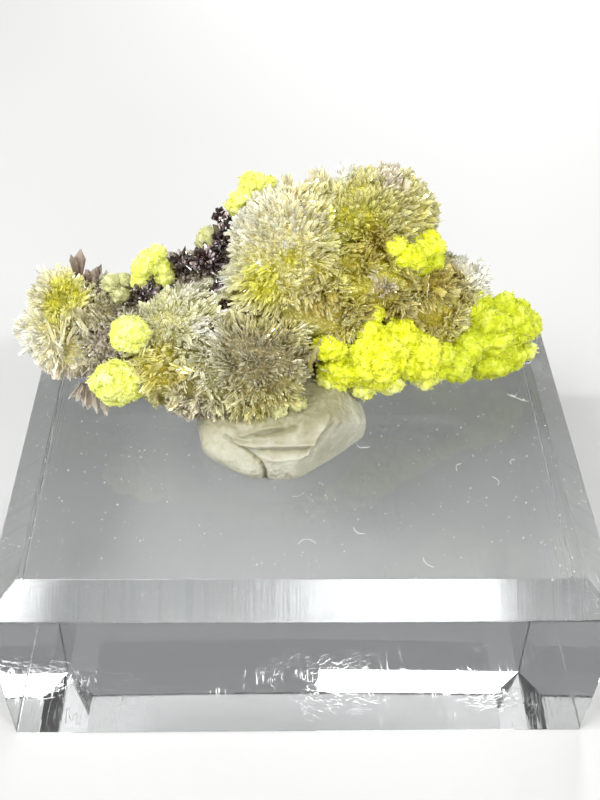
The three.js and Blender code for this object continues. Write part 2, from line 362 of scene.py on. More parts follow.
FINE_GRAIN = grain_group()
MOTTLED_COLOUR = mottle_group()
FINE_SCRATCHES = scratch_group()


def grained(tree, place, size, softness):
    """The fine grain's height and high spots."""
    return use_group(
        tree, FINE_GRAIN, {"Place": place, "Grain Size": size, "Softness": softness}
    )


def mottled(tree, place, patch_size, first, second, spot, spot_share):
    """Two colours in patches with spots of a third."""
    return use_group(
        tree,
        MOTTLED_COLOUR,
        {
            "Place": place,
            "Patch Size": patch_size,
            "First Colour": opaque(first),
            "Second Colour": opaque(second),
            "Spot Colour": opaque(spot),
            "Spot Share": spot_share,
        },
    )["Colour"]


def new_material(name, **constants):
    """A material with one Principled shader, its plain values set on the shader itself."""
    material = bpy.data.materials.new(name)
    material.use_nodes = True
    tree = material.node_tree
    shader = tree.nodes["Principled BSDF"]
    for label, value in constants.items():
        shader.inputs[label.replace("_", " ")].default_value = value
    return material, tree, shader


def feed(tree, shader, colour=None, roughness=None):
    """Links what changes over the surface to the shader."""
    if colour is not None:
        tree.links.new(colour, shader.inputs["Base Color"])
    if roughness is not None:
        tree.links.new(roughness, shader.inputs["Roughness"])


def set_bump(tree, shader, height, depth):
    """Relief of the given depth in millimetres."""
    bump = add_node(tree, "Bump", {"Height": height, "Distance": depth * MM, "Strength": 1.0})
    tree.links.new(bump.outputs["Normal"], shader.inputs["Normal"])


def let_light_through(tree, shader, colour, share):
    """Lets this share of the light that makes shadows pass straight through, tinted."""
    clear = add_node(tree, "BsdfTransparent", {"Color": colour})
    shadow = add_node(tree, "LightPath").outputs["Is Shadow Ray"]
    passing = multiply(tree, shadow, share)
    mixed = add_node(tree, "MixShader", {0: passing, 1: shader.outputs[0], 2: clear.outputs[0]})
    tree.links.new(mixed.outputs[0], tree.nodes["Material Output"].inputs["Surface"])


# ---- Materials ----


def bevel_ribs(tree, place):
    """The cutter's ribs, which run down each bevel, and a mask of the bevels."""
    facing = add_node(tree, "NewGeometry").outputs["True Normal"]
    slope = add_node(tree, "SeparateXYZ", {0: facing}).outputs
    bevels = multiply(
        tree, remap(tree, slope["Z"], 0.2, 0.4), remap(tree, slope["Z"], 0.97, 0.9)
    )
    away_x = calculate(tree, "ABSOLUTE", slope["X"])
    away_y = calculate(tree, "ABSOLUTE", slope["Y"])
    on_long_edge = calculate(tree, "GREATER_THAN", away_y, away_x)
    spot = add_node(tree, "SeparateXYZ", {0: place}).outputs
    along_edge = remap(tree, on_long_edge, 0.0, 1.0, spot["Y"], spot["X"])
    rib_place = add_node(tree, "CombineXYZ", {"X": along_edge}).outputs[0]
    return noise_over(tree, rib_place, 2.2, 7.0, 0.8), bevels


def acrylic_material():
    """Clear cast acrylic: polished faces with fine scratches and a bevel ribbed by its cutter."""
    material, tree, shader = new_material("cast_acrylic", Transmission_Weight=1.0, IOR=1.49)
    place = millimetres(tree)
    scratches = use_group(
        tree, FINE_SCRATCHES, {"Place": place, "Spacing": 2.6, "Amount": 0.6}
    )["Mask"]
    ribs, bevels = bevel_ribs(tree, place)
    rib_lines = multiply(tree, remap(tree, ribs, 0.36, 0.5, 1.0, 0.0), bevels)
    marked = calculate(tree, "MAXIMUM", rib_lines, multiply(tree, scratches, 0.5))
    haze = noise_over(tree, place, 0.4, 3.0)
    rough = remap(tree, haze, 0.4, 0.8, 0.0, 0.04)
    rough = add_up(tree, rough, multiply(tree, scratches, 0.25))
    rough = add_up(tree, rough, multiply(tree, bevels, 0.06))
    clear = opaque((0.985, 0.99, 0.99))
    frosted = opaque((0.72, 0.76, 0.78))
    feed(tree, shader, mix_colours(tree, marked, clear, frosted), rough)
    rib_height = multiply(tree, multiply(tree, ribs, bevels), 9.0)
    set_bump(tree, shader, take_off(tree, rib_height, scratches), 0.003)
    tint = opaque((0.84, 0.93, 0.96))
    absorb = add_node(tree, "VolumeAbsorption", {"Color": tint, "Density": 7.0})
    tree.links.new(absorb.outputs[0], tree.nodes["Material Output"].inputs["Volume"])
    return material


def tack_material():
    """Cream mineral tack: a soft satin putty, wrinkled, with painted shade in its grooves and on its
    top under the specimen, where it is partly real soiling.
    """
    material, tree, shader = new_material(
        "satin_putty",
        Subsurface_Weight=0.12,
        Subsurface_Scale=0.6 * MM,
        Subsurface_Radius=(1.0, 0.8, 0.5),
        IOR=1.45,
    )
    place = millimetres(tree)
    putty = mottled(
        tree, place, 1.6, (0.5, 0.495, 0.395), (0.41, 0.4, 0.3), (0.44, 0.41, 0.31), 0.2
    )
    grain = grained(tree, place, 0.35, 0.6)
    smear = grained(tree, place, 0.5, 0.75)
    fold = own_value(tree, "fold_depth", "Fac")
    painted_shade_and_stain = multiply(
        tree,
        remap(tree, fold, 0.0, 1.0, 0.0, 0.95),
        remap(tree, smear["High Spots"], 0.0, 1.0, 1.0, 0.55),
    )
    # Painted shade: the grooves and the top under the specimen darken towards this olive brown; at
    # the top it is partly real soiling too.
    shaded_and_soiled = mix_colours(tree, painted_shade_and_stain, putty, opaque((0.26, 0.24, 0.12)))
    feed(tree, shader, shaded_and_soiled, remap(tree, grain["High Spots"], 0, 1, 0.42, 0.3))
    wrinkles = add_up(tree, grain["Height"], multiply(tree, smear["Height"], 2.2))
    set_bump(tree, shader, wrinkles, 0.06)
    return material


def lath_material():
    """Glassy crystal laths, striped along their length, tinted by what they grew from."""
    material, tree, shader = new_material(
        "glassy_laths", Transmission_Weight=0.4, IOR=1.43, Specular_IOR_Level=0.85
    )
    stripes = noise_over(tree, own_value(tree, "crystal_grain", "Vector"), 9.0, 2.0, 0.6)
    veil = remap(tree, noise_over(tree, millimetres(tree), 3.0, 3.0), 0.3, 0.6, 0.78, 1.0)
    colour = tint_with(tree, own_value(tree, "crystal_tint"), veil)
    feed(tree, shader, colour, remap(tree, stripes, 0.3, 0.7, 0.04, 0.16))
    set_bump(tree, shader, stripes, 0.006)
    let_light_through(tree, shader, colour, 0.95)
    return material


def crystal_mass_material():
    """The close-grown roots of the laths, where light turns deep yellow."""
    material, tree, shader = new_material(
        "crystal_mass",
        Roughness=0.4,
        Subsurface_Weight=0.3,
        Subsurface_Scale=0.5 * MM,
        Subsurface_Radius=(1.0, 0.9, 0.3),
    )
    grain = grained(tree, millimetres(tree), 0.16, 0.6)
    shaded = mix_colours(tree, grain["High Spots"], opaque((0.6, 0.57, 0.4)), opaque((1, 1, 1)))
    feed(tree, shader, tint_with(tree, own_value(tree, "crystal_tint"), shaded))
    set_bump(tree, shader, grain["Height"], 0.12)
    return material


def dark_crystal_material():
    """Purple-black crystals with a bright lustre."""
    material, tree, shader = new_material(
        "dark_crystal", IOR=1.8, Coat_Weight=0.8, Coat_Roughness=0.06, Specular_IOR_Level=0.8
    )
    mottle = mottled(
        tree, millimetres(tree), 0.6, (0.5, 0.4, 0.5), (1.0, 0.75, 0.6), (1.0, 1.0, 1.0), 0.35
    )
    stripes = noise_over(tree, own_value(tree, "crystal_grain", "Vector"), 7.0)
    colour = tint_with(tree, own_value(tree, "crystal_tint"), mottle)
    feed(tree, shader, colour, remap(tree, stripes, 0.35, 0.7, 0.1, 0.3))
    set_bump(tree, shader, stripes, 0.01)
    return material


def rock_material():
    """Dark brown and grey matrix rock under the crystals."""
    material, tree, shader = new_material("matrix_rock", IOR=1.5)
    place = millimetres(tree)
    stone = mottled(
        tree, place, 0.9, (0.16, 0.12, 0.08), (0.07, 0.045, 0.03), (0.4, 0.36, 0.27), 0.4
    )
    grain = grained(tree, place, 0.25, 0.65)
    worn = mix_colours(tree, grain["High Spots"], stone, opaque((0.3, 0.25, 0.18)))
    feed(tree, shader, worn, remap(tree, grain["High Spots"], 0, 1, 0.75, 0.45))
    set_bump(tree, shader, grain["Height"], 0.12)
    return material


def crust_material(name, bleeding):
    """Bright yellow-green crust: sugary lobes, paler on their tops as painted highlight and deeper
    between them as painted shade.
    """
    material, tree, shader = new_material(
        name,
        Subsurface_Weight=bleeding,
        Subsurface_Scale=0.35 * MM,
        Subsurface_Radius=(1.0, 1.0, 0.08),
        IOR=1.45,
        Specular_IOR_Level=0.35,
        Sheen_Weight=0.12,
        Sheen_Roughness=0.4,
        Sheen_Tint=opaque((1.0, 1.0, 0.6)),
    )
    place = millimetres(tree)
    mottle = mottled(tree, place, 0.3, (1.0, 1.0, 1.0), (0.9, 0.9, 0.75), (1.0, 1.0, 1.0), 0.3)
    grain = grained(tree, place, 0.09, 0.6)
    colour = tint_with(tree, own_value(tree, "crystal_tint"), mottle)
    feed(tree, shader, colour, remap(tree, grain["High Spots"], 0, 1, 0.6, 0.38))
    set_bump(tree, shader, grain["Height"], 0.04)
    return material


def dust_material():
    """Pale dust and lint lying on the block."""
    material, tree, shader = new_material("pale_dust", Roughness=0.8)
    dust = mottled(
        tree, millimetres(tree), 2.0, (0.9, 0.9, 0.88), (0.8, 0.8, 0.8), (0.45, 0.42, 0.38), 0.3
    )
    feed(tree, shader, dust)
    return material


def floor_material():
    """A plain pale floor, a little uneven in tone."""
    material, tree, shader = new_material("pale_floor", Roughness=0.75)
    tone = noise_over(tree, millimetres(tree), 0.02)
    darker = opaque((0.5, 0.5, 0.495))
    paler = opaque((0.54, 0.54, 0.535))
    feed(tree, shader, mix_colours(tree, tone, darker, paler))
    return material


# ---- Pieces from corners and faces ----


def add_attribute(mesh, label, values):
    """One value a corner: a number, a colour of four numbers or a place of three."""
    values = np.asarray(values, np.float32)
    if values.ndim == 1:
        kind, field = "FLOAT", "value"
    elif values.shape[1] == 4:
        kind, field = "FLOAT_COLOR", "color"
    else:
        kind, field = "FLOAT_VECTOR", "vector"
    mesh.attributes.new(label, kind, "POINT").data.foreach_set(field, values.ravel())


def solid_colours(colours):
    """Colours as a mesh carries them, with nothing see-through."""
    return np.concatenate([colours, np.ones((len(colours), 1))], axis=1)


def new_mesh(name, corners, faces):
    mesh = bpy.data.meshes.new(name)
    mesh.from_pydata((corners * MM).tolist(), [], faces)
    return mesh


class Build:
    """Corners, faces and attributes of one piece, gathered form by form."""

    def __init__(self):
        self.corners = []
        self.faces = []
        self.face_materials = []
        self.face_smooth = []
        self.attributes = {}
        self.count = 0

    def add(self, corners, faces, material=0, smooth=False, **attributes):
        self.corners.append(corners)
        self.faces.extend([[corner + self.count for corner in face] for face in faces])
        self.face_materials.extend([material] * len(faces))
        self.face_smooth.extend([smooth] * len(faces))
        for label, values in attributes.items():
            self.attributes.setdefault(label, []).append(values)
        self.count += len(corners)

    def piece(self, name, materials, node, slot):
        """Shows what was gathered as a piece that rides on the specimen's one body."""
        mesh = new_mesh(name, np.concatenate(self.corners), self.faces)
        for label, values in self.attributes.items():
            add_attribute(mesh, label, np.concatenate(values))
        mesh.polygons.foreach_set("material_index", self.face_materials)
        mesh.polygons.foreach_set("use_smooth", self.face_smooth)
        for material in materials:
            mesh.materials.append(material)
        piece = bpy.data.objects.new(name, mesh)
        bpy.context.scene.collection.objects.link(piece)
        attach(piece, "root")
        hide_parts(node)


# ---- Crystal forms of unit width, thickness and length ----


def lath_form(foot, left, right, point):
    """A flat blade: a sharp foot, two shoulders at their own heights and an off-centre point."""
    corners = [(-foot / 2, 0, 0), (foot / 2, 0, 0)]
    corners += [(-0.5, -0.5, left), (0.5, -0.5, right), (-0.5, 0.5, left), (0.5, 0.5, right)]
    corners.append((point, 0, 1))
    faces = [[0, 1, 3, 2], [1, 0, 4, 5], [0, 2, 4], [1, 5, 3]]
    faces += [[2, 3, 6], [3, 5, 6], [5, 4, 6], [4, 2, 6]]
    return np.array(corners, float), faces


def prism_form(sides, shoulder, waist=1.0):
    """A prism with a low point, standing on its foot."""
    turn = [2 * math.pi * (side + 0.5) / sides for side in range(sides)]
    ring = [(math.cos(angle) / 2, math.sin(angle) / 2) for angle in turn]
    corners = [(x * waist, y * waist, 0) for x, y in ring]
    corners += [(x, y, shoulder) for x, y in ring] + [(0, 0, 1)]
    faces = [list(range(sides))[::-1]]
    for side in range(sides):
        following = (side + 1) % sides
        faces.append([side, following, following + sides, side + sides])
        faces.append([side + sides, following + sides, 2 * sides])
    return np.array(corners, float), faces


def plain_mesh(form):
    """A bmesh form's corners and faces. The form is let go."""
    form.verts.index_update()
    corners = np.array([vertex.co for vertex in form.verts])
    faces = [[vertex.index for vertex in face.verts] for face in form.faces]
    form.free()
    return corners, faces


def ball_form(divisions):
    """A round ball of unit size."""
    ball = bmesh.new()
    bmesh.ops.create_icosphere(ball, subdivisions=divisions, radius=0.5)
    return plain_mesh(ball)


def set_forms(form, feet, along, facing, sizes):
    """Copies of one form stood on their feet, with their flat side turned to face one way.

    Sizes are width, thickness and length. Gives corners copy by copy, faces, and each corner's
    place within the crystal.
    """
    corners, faces = form
    along = unit(along)
    across = unit(np.cross(facing, along))
    flat = np.cross(along, across)
    own_places = corners[None] * np.asarray(sizes)[:, None, :]
    placed = feet[:, None] + own_places @ np.stack([across, flat, along], axis=1)
    starts = np.arange(len(feet))[:, None] * len(corners)
    all_faces = []
    for face in faces:
        all_faces.extend((starts + np.array(face)).tolist())
    return placed.reshape(-1, 3), all_faces, own_places


LATHS = [
    lath_form(0.8, 0.84, 0.92, 0.25),
    lath_form(0.85, 0.93, 0.84, -0.3),
    lath_form(0.75, 0.87, 0.87, 0.05),
    lath_form(0.9, 0.96, 0.88, 0.42),
]
SPEARS = [lath_form(0.7, 0.66, 0.72, 0.08), lath_form(0.8, 0.74, 0.62, -0.15)]
HEXAGONAL_PRISM = prism_form(6, 0.82)
BLOCKY_PRISM = prism_form(4, 0.62, 0.9)
SPECK = prism_form(4, 0.5, 0.5)
FLAKE = (
    np.array([(-0.3, 0, 0), (0.3, 0, 0), (-0.5, -0.5, 0.7), (0.5, 0.5, 0.6), (0.1, 0, 1)]),
    [[0, 3, 1], [0, 4, 3], [0, 2, 4], [1, 2, 0], [1, 4, 2], [1, 3, 4]],
)


# ---- Overlapping forms and noise ----


def add_balls(build, places, sizes, divisions=2):
    upright = np.repeat([[0.0, 0.0, 1.0]], len(places), 0)
    facing = np.repeat([[0.0, 1.0, 0.0]], len(places), 0)
    corners, faces, _ = set_forms(ball_form(divisions), places, upright, facing, sizes)
    build.add(corners, faces)


def fused_skin(build, voxel, melting=0):
    """One closed skin round overlapping forms, its creases melted, as corners, normals and faces."""
    mesh = bpy.data.meshes.new("forms")
    mesh.from_pydata(np.concatenate(build.corners).tolist(), [], build.faces)
    forms = bpy.data.objects.new("forms", mesh)
    bpy.context.scene.collection.objects.link(forms)
    remesh = forms.modifiers.new("skin", "REMESH")
    remesh.mode = "VOXEL"
    remesh.voxel_size = voxel
    melt = forms.modifiers.new("melt", "SMOOTH")
    melt.iterations = melting
    graph = bpy.context.evaluated_depsgraph_get()
    skin = bpy.data.meshes.new_from_object(forms.evaluated_get(graph))
    corners = np.array([vertex.co for vertex in skin.vertices])
    normals = np.array([vertex.normal for vertex in skin.vertices])
    faces = [list(face.vertices) for face in skin.polygons]
    bpy.data.objects.remove(forms)
    bpy.data.meshes.remove(mesh)
    bpy.data.meshes.remove(skin)
    return corners, normals, faces


def soft_join(distances, softness):
    """Joins each row's distances into one with a soft crease, and gives each one's share in it."""
    share = np.exp(np.clip(-distances / softness, -40, 40))
    total = share.sum(axis=1, keepdims=True)
    return -softness * np.log(total[:, 0]), share / total


# ---- The rosettes ----

# Colours of the laths at the foot and at the tip. The deeper colour at the foot is partly the
# crystals' own colour and partly painted shade down among the laths.
LOOKS = {
    "straw": ((0.73, 0.69, 0.38), (0.92, 0.9, 0.77)),
    "lemon": ((0.72, 0.67, 0.18), (0.86, 0.84, 0.5)),
    "glow": ((0.74, 0.72, 0.04), (0.84, 0.83, 0.27)),
    "silver": ((0.66, 0.65, 0.46), (0.96, 0.96, 0.93)),
    "sage": ((0.66, 0.65, 0.35), (0.93, 0.92, 0.75)),
    "olive": ((0.52, 0.5, 0.26), (0.82, 0.81, 0.64)),
    "moss": ((0.66, 0.6, 0.06), (0.86, 0.83, 0.48)),
    "honey": ((0.6, 0.56, 0.2), (0.81, 0.79, 0.53)),
    "amber": ((0.5, 0.41, 0.02), (0.7, 0.62, 0.24)),
    "brown": ((0.4, 0.33, 0.12), (0.68, 0.62, 0.4)),
    "smoky": ((0.4, 0.35, 0.24), (0.82, 0.79, 0.68)),
    "fawn": ((0.34, 0.29, 0.16), (0.67, 0.64, 0.48)),
    "mauve": ((0.5, 0.43, 0.34), (0.86, 0.82, 0.73)),
    "umber": ((0.26, 0.19, 0.15), (0.56, 0.48, 0.41)),
    "clear": ((0.85, 0.84, 0.76), (0.97, 0.97, 0.96)),
}

Rosette = namedtuple("Rosette", "place radius width fan lean look side_look side")
Tuft = namedtuple("Tuft", "place length direction spread look count width")
Mass = namedtuple("Mass", "place radii look")
CrustLook = namedtuple("CrustLook", "hollow body top lobe fluff flakes")

# Each rosette: place with its height over the block's top, radius, lath width, size of the fans
# that cover it (0 for one fan all round), where its laths come from as shares of the radius, its
# look, then the look it turns to on one side.
ROSETTES = {
    "rosettes_left_end": [
        ((-13.8, 5.6, 5.1), 1.65, 0.11, 0, (0.1, -0.3, -0.4), "glow", "straw", (-0.6, 0.3, 0.7)),
        ((-14.8, 4.3, 3.3), 1.6, 0.12, 0, (0.5, 0, 0.1), "straw", "clear", (-1, 0, -0.3)),
        ((-13.4, 3.7, 2.8), 1.8, 0.1, 0, (0, 0.2, 0.4), "straw", "mauve", (0.3, -0.3, -0.8)),
        ((-12.4, 2.7, 2.7), 1.5, 0.1, 1.3, (0, 0, 0), "straw", "mauve", (0.7, -0.3, -0.6)),
        ((-12.4, 4.9, 4.6), 1.35, 0.1, 1.2, (0, 0, 0), "glow", "straw", (0.8, -0.5, 0.3)),
        ((-10.9, 3.8, 4.7), 1.2, 0.1, 1.0, (0, 0, 0), "brown", "fawn", (0, -0.5, 0.8)),
        ((-10.5, 2.4, 3.3), 1.4, 0.1, 1.0, (0, 0, 0), "umber", "fawn", (0, -0.2, 0.9)),
    ],
    "rosettes_left_of_middle": [
        ((-6.4, 2.5, 5.0), 2.6, 0.13, 0, (-0.4, -0.1, -0.3), "sage", "silver", (1, 0.1, 0.1)),
        ((-7.7, 1.9, 4.9), 1.7, 0.11, 1.2, (0, 0, 0), "sage", "olive", (-0.5, 0, 0.9)),
        ((-7.7, 0.7, 3.7), 2.0, 0.1, 1.3, (0, 0, 0), "moss", "lemon", (0, -0.4, 0.5)),
        ((-5.9, -0.3, 2.9), 1.5, 0.1, 1.0, (0, 0, 0), "olive", "mauve", (0, -0.5, -0.8)),
        ((-3.5, 3.6, 6.2), 1.6, 0.13, 1.2, (0, 0, 0), "olive", "silver", (-0.5, 0, 0.8)),
    ],
    "rosettes_low_middle": [
        ((-2.45, 0.2, 4.6), 2.78, 0.085, 0, (0, 0, -0.1), "olive", "fawn", (0.3, -0.2, 0.7)),
        ((-4.3, -0.7, 3.7), 1.7, 0.09, 1.3, (0, 0, 0), "smoky", "olive", (0.3, -0.3, 0.7)),
        ((-2.6, -1.1, 3.6), 1.7, 0.09, 0, (0, 0.6, 0.4), "sage", "moss", (0.4, -0.6, -0.5)),
        ((-1.15, -0.45, 4.0), 1.5, 0.09, 0, (-0.7, 0.3, 0.3), "sage", "moss", (0.3, -0.5, -0.8)),
        ((1.6, 1.8, 6.3), 1.7, 0.11, 1.2, (0, 0, 0), "brown", "moss", (-0.3, -0.6, -0.5)),
        ((-5.0, -0.2, 4.7), 1.1, 0.13, 0, (0, 0.2, 0), "sage", "silver", (0.5, -0.5, 0.5)),
        ((0.3, 2.0, 7.0), 1.9, 0.12, 1.5, (0, 0, 0), "amber", "olive", (-0.2, -0.5, -0.6)),
    ],
    "rosettes_dome": [
        ((-0.9, 4.2, 9.5), 2.85, 0.115, 0, (0, -0.1, -0.2), "straw", "lemon", (-0.1, -0.7, -0.9)),
        ((-1.6, 2.9, 7.7), 2.1, 0.1, 0, (0.5, 0.3, 0.4), "lemon", "glow", (0.2, -0.8, -0.2)),
        ((-1.75, 4.4, 9.8), 2.0, 0.1, 0, (0.6, -0.2, -0.4), "straw", "clear", (-0.8, 0, 0.5)),
        ((-0.1, 5.0, 10.9), 1.65, 0.11, 0, (-0.5, -0.5, -0.8), "straw", "straw", (-0.8, 0, 0.5)),
        ((-0.4, 2.8, 8.7), 1.7, 0.11, 1.4, (0, 0, 0), "lemon", "straw", (0, 0, 1)),
        ((1.4, 5.9, 10.9), 1.0, 0.11, 0, (0, 0, -0.6), "straw", "straw", (0, 0, 1)),
    ],
    "rosettes_crown": [
        ((3.9, 6.4, 9.9), 2.95, 0.115, 0, (-0.2, -0.2, -0.3), "honey", "glow", (-0.8, -0.6, -0.3)),
        ((5.7, 7.0, 9.7), 2.0, 0.1, 0, (-0.8, -0.4, -0.2), "honey", "lemon", (-0.5, -0.8, -0.2)),
        ((2.1, 5.2, 10.2), 1.6, 0.12, 0, (0, 0, -0.5), "glow", "glow", (0, 0, 1)),
    ],
    "rosettes_right_of_middle": [
        ((3.6, 3.8, 7.4), 2.45, 0.1, 1.6, (0, 0, 0), "amber", "glow", (-0.3, 0, 1)),
        ((6.9, 4.4, 5.9), 2.35, 0.1, 1.4, (0, 0, 0), "amber", "moss", (0.6, -0.3, -0.6)),
        ((9.3, 6.0, 5.5), 1.8, 0.1, 1.2, (0, 0, 0), "moss", "clear", (0.4, 0.2, 0.9)),
        ((5.1, 3.4, 6.7), 1.3, 0.14, 0, (0, 0.3, -0.2), "brown", "mauve", (-0.3, -0.2, 0.9)),
        ((2.4, 3.6, 8.6), 1.5, 0.12, 1.3, (0, 0, 0), "moss", "glow", (0, 0, 1)),
        ((8.4, 4.4, 5.0), 1.3, 0.13, 1.1, (0, 0, 0), "moss", "straw", (0, -0.5, 0.8)),
        ((7.7, 2.9, 4.5), 1.15, 0.1, 1.0, (0, 0, 0), "glow", "moss", (0, -0.5, 0.8)),
    ],
    "rosettes_back": [
        ((-4.6, 6.9, 5.6), 2.1, 0.13, 1.3, (0, 0, 0), "smoky", "silver", (0, 1, 0.3)),
        ((3.0, 8.2, 7.4), 2.2, 0.13, 1.3, (0, 0, 0), "moss", "straw", (0, 1, 0.3)),
    ],
}

# Patches where the laths turn to another look: place, radius and look.
LOOK_PATCHES = [
    ((-2.4, 1.2, 9.1), 1.25, "glow"),
    ((-0.7, 1.5, 10.6), 0.65, "glow"),
    ((0.8, 1.9, 9.5), 0.8, "moss"),
    ((-0.8, 2.0, 11.5), 0.45, "clear"),
    ((-0.2, 2.5, 11.8), 0.4, "clear"),
    ((-2.5, 1.7, 10.1), 0.35, "clear"),
    ((1.7, 4.2, 11.4), 1.0, "glow"),
    ((3.8, 3.5, 10.1), 1.3, "amber"),
    ((3.0, 2.4, 9.2), 0.9, "amber"),
    ((2.2, 7.1, 12.3), 0.9, "silver"),
    ((4.9, 6.4, 12.7), 1.1, "mauve"),
    ((6.7, 5.5, 10.6), 1.3, "lemon"),
    ((-13.1, 4.6, 6.2), 1.4, "glow"),
    ((-13.8, 4.0, 5.2), 0.9, "glow"),
    ((-7.6, -0.6, 5.0), 1.4, "moss"),
    ((-6.6, -0.7, 4.4), 0.9, "amber"),
    ((4.3, 1.8, 8.7), 0.9, "mauve"),
    ((1.2, 0.9, 8.0), 1.0, "amber"),
    ((7.4, 3.8, 8.1), 0.8, "amber"),
    ((-5.2, 0.9, 6.3), 0.9, "clear"),
]

# Each tuft: place, length of its blades, direction, spread in degrees, look, how many and width.
TUFTS = {
    "rosettes_left_end": [
        ((-12.7, 6.4, 5.6), 2.0, (0.05, 0.1, 1), 14, "umber", 4, 0.5),
        ((-12.0, 6.2, 5.3), 1.3, (0.3, 0.1, 1), 30, "umber", 12, 0.36),
        ((-11.3, 6.0, 5.1), 1.3, (0.3, 0.1, 1), 35, "smoky", 14, 0.3),
        ((-14.4, 6.2, 5.7), 1.1, (-0.5, 0.2, 1), 40, "clear", 30, 0.18),
        ((-15.3, 4.2, 3.6), 1.2, (-1, -0.1, 0.1), 36, "straw", 60, 0.15),
        ((-11.6, 0.9, 2.2), 1.75, (-0.1, -0.3, -1), 14, "mauve", 6, 0.42),
        ((-11.0, 0.6, 2.2), 1.85, (0.1, -0.3, -1), 14, "mauve", 7, 0.42),
        ((-12.2, 1.2, 2.1), 1.5, (-0.2, -0.3, -1), 30, "mauve", 16, 0.24),
    ],
    "rosettes_left_of_middle": [
        ((-3.3, 3.0, 8.1), 1.45, (-1, -0.15, -0.1), 20, "silver", 46, 0.12),
        ((-4.7, 1.9, 6.4), 1.3, (0.85, -0.4, 0.35), 30, "clear", 34, 0.14),
        ((-5.0, 0.8, 5.4), 1.1, (0.85, -0.5, 0.0), 26, "clear", 36, 0.14),
    ],
    "rosettes_low_middle": [
        ((1.8, 0.2, 3.8), 1.4, (-1.0, -0.4, 0.62), 3, "clear", 2, 0.14),
    ],
    "rosettes_dome": [
        ((-2.2, 6.9, 11.6), 0.95, (0, 0.1, 1), 5, "straw", 2, 0.16),
        ((1.0, 6.7, 11.2), 1.55, (-0.08, 0.1, 1), 27, "straw", 80, 0.22),
        ((-0.75, 6.5, 11.2), 1.25, (-0.1, 0.1, 1), 22, "straw", 34, 0.2),
        ((-1.7, 5.8, 11.0), 1.0, (-0.2, 0.15, 1), 30, "clear", 20, 0.16),
    ],
    "rosettes_crown": [
        ((2.4, 7.4, 11.3), 1.45, (0, 0.05, 1), 34, "clear", 110, 0.22),
        ((4.7, 7.5, 11.2), 1.55, (0.05, 0.05, 1), 32, "mauve", 70, 0.24),
        ((6.4, 6.9, 10.2), 1.3, (0.75, 0.1, 0.6), 26, "straw", 40, 0.2),
    ],
    "rosettes_right_of_middle": [
        ((9.9, 5.6, 5.2), 1.45, (0.7, 0.1, 0.7), 50, "clear", 60, 0.17),
    ],
}

# The rock under the rosettes: place and radii of its lumps.
ROCK_LUMPS = [
    ((-10.8, 5.2, 3.6), (3.2, 2.4, 2.0)),
    ((-9.6, 2.6, 3.8), (2.4, 1.8, 1.5)),
    ((-6.0, 5.6, 4.4), (4.2, 3.0, 2.6)),
    ((0.2, 5.4, 5.6), (4.4, 4.2, 3.6)),
    ((5.6, 6.4, 4.9), (4.4, 2.8, 2.6)),
]

# Clefts where no laths grew: place and radius.
CLEFTS = [
    ((-10.8, 1.9, 4.8), 0.6),
    ((-15.4, 4.7, 4.9), 0.45),
    ((-4.5, 3.2, 7.6), 0.55),
    ((0.3, -0.9, 4.1), 0.5),
    ((0.55, -0.4, 2.9), 1.0),
    ((1.65, 7.0, 12.6), 0.45),
    ((-0.1, 6.4, 12.5), 0.42),
    ((3.5, 7.3, 12.75), 0.42),
    ((-1.8, 6.3, 12.4), 0.35),
]

# Groups of dark crystals in the clefts: place, radius and how many.
DARK_GROUPS = [
    ((-8.6, 4.0, 6.3), 0.85, 60),
    ((-6.6, 5.2, 7.4), 0.95, 70),
    ((-5.2, 4.9, 7.9), 1.05, 100),
    ((-4.1, 5.4, 8.9), 1.0, 110),
    ((-4.3, 6.2, 9.9), 0.65, 34),
    # These two groups sit in a dark gap between the rosettes: their dark crystals partly stand in for
    # its shadow, as painted shadow.
    ((-4.4, 3.3, 7.3), 0.65, 44),
    ((-4.1, 2.7, 6.6), 0.6, 34),
    # This group fills a dark hole at the left end: its dark crystals partly stand in for the hole's
    # shadow, as painted shadow.
    ((-10.8, 2.1, 4.3), 0.6, 40),
    ((-7.3, 5.6, 7.2), 0.6, 26),
]

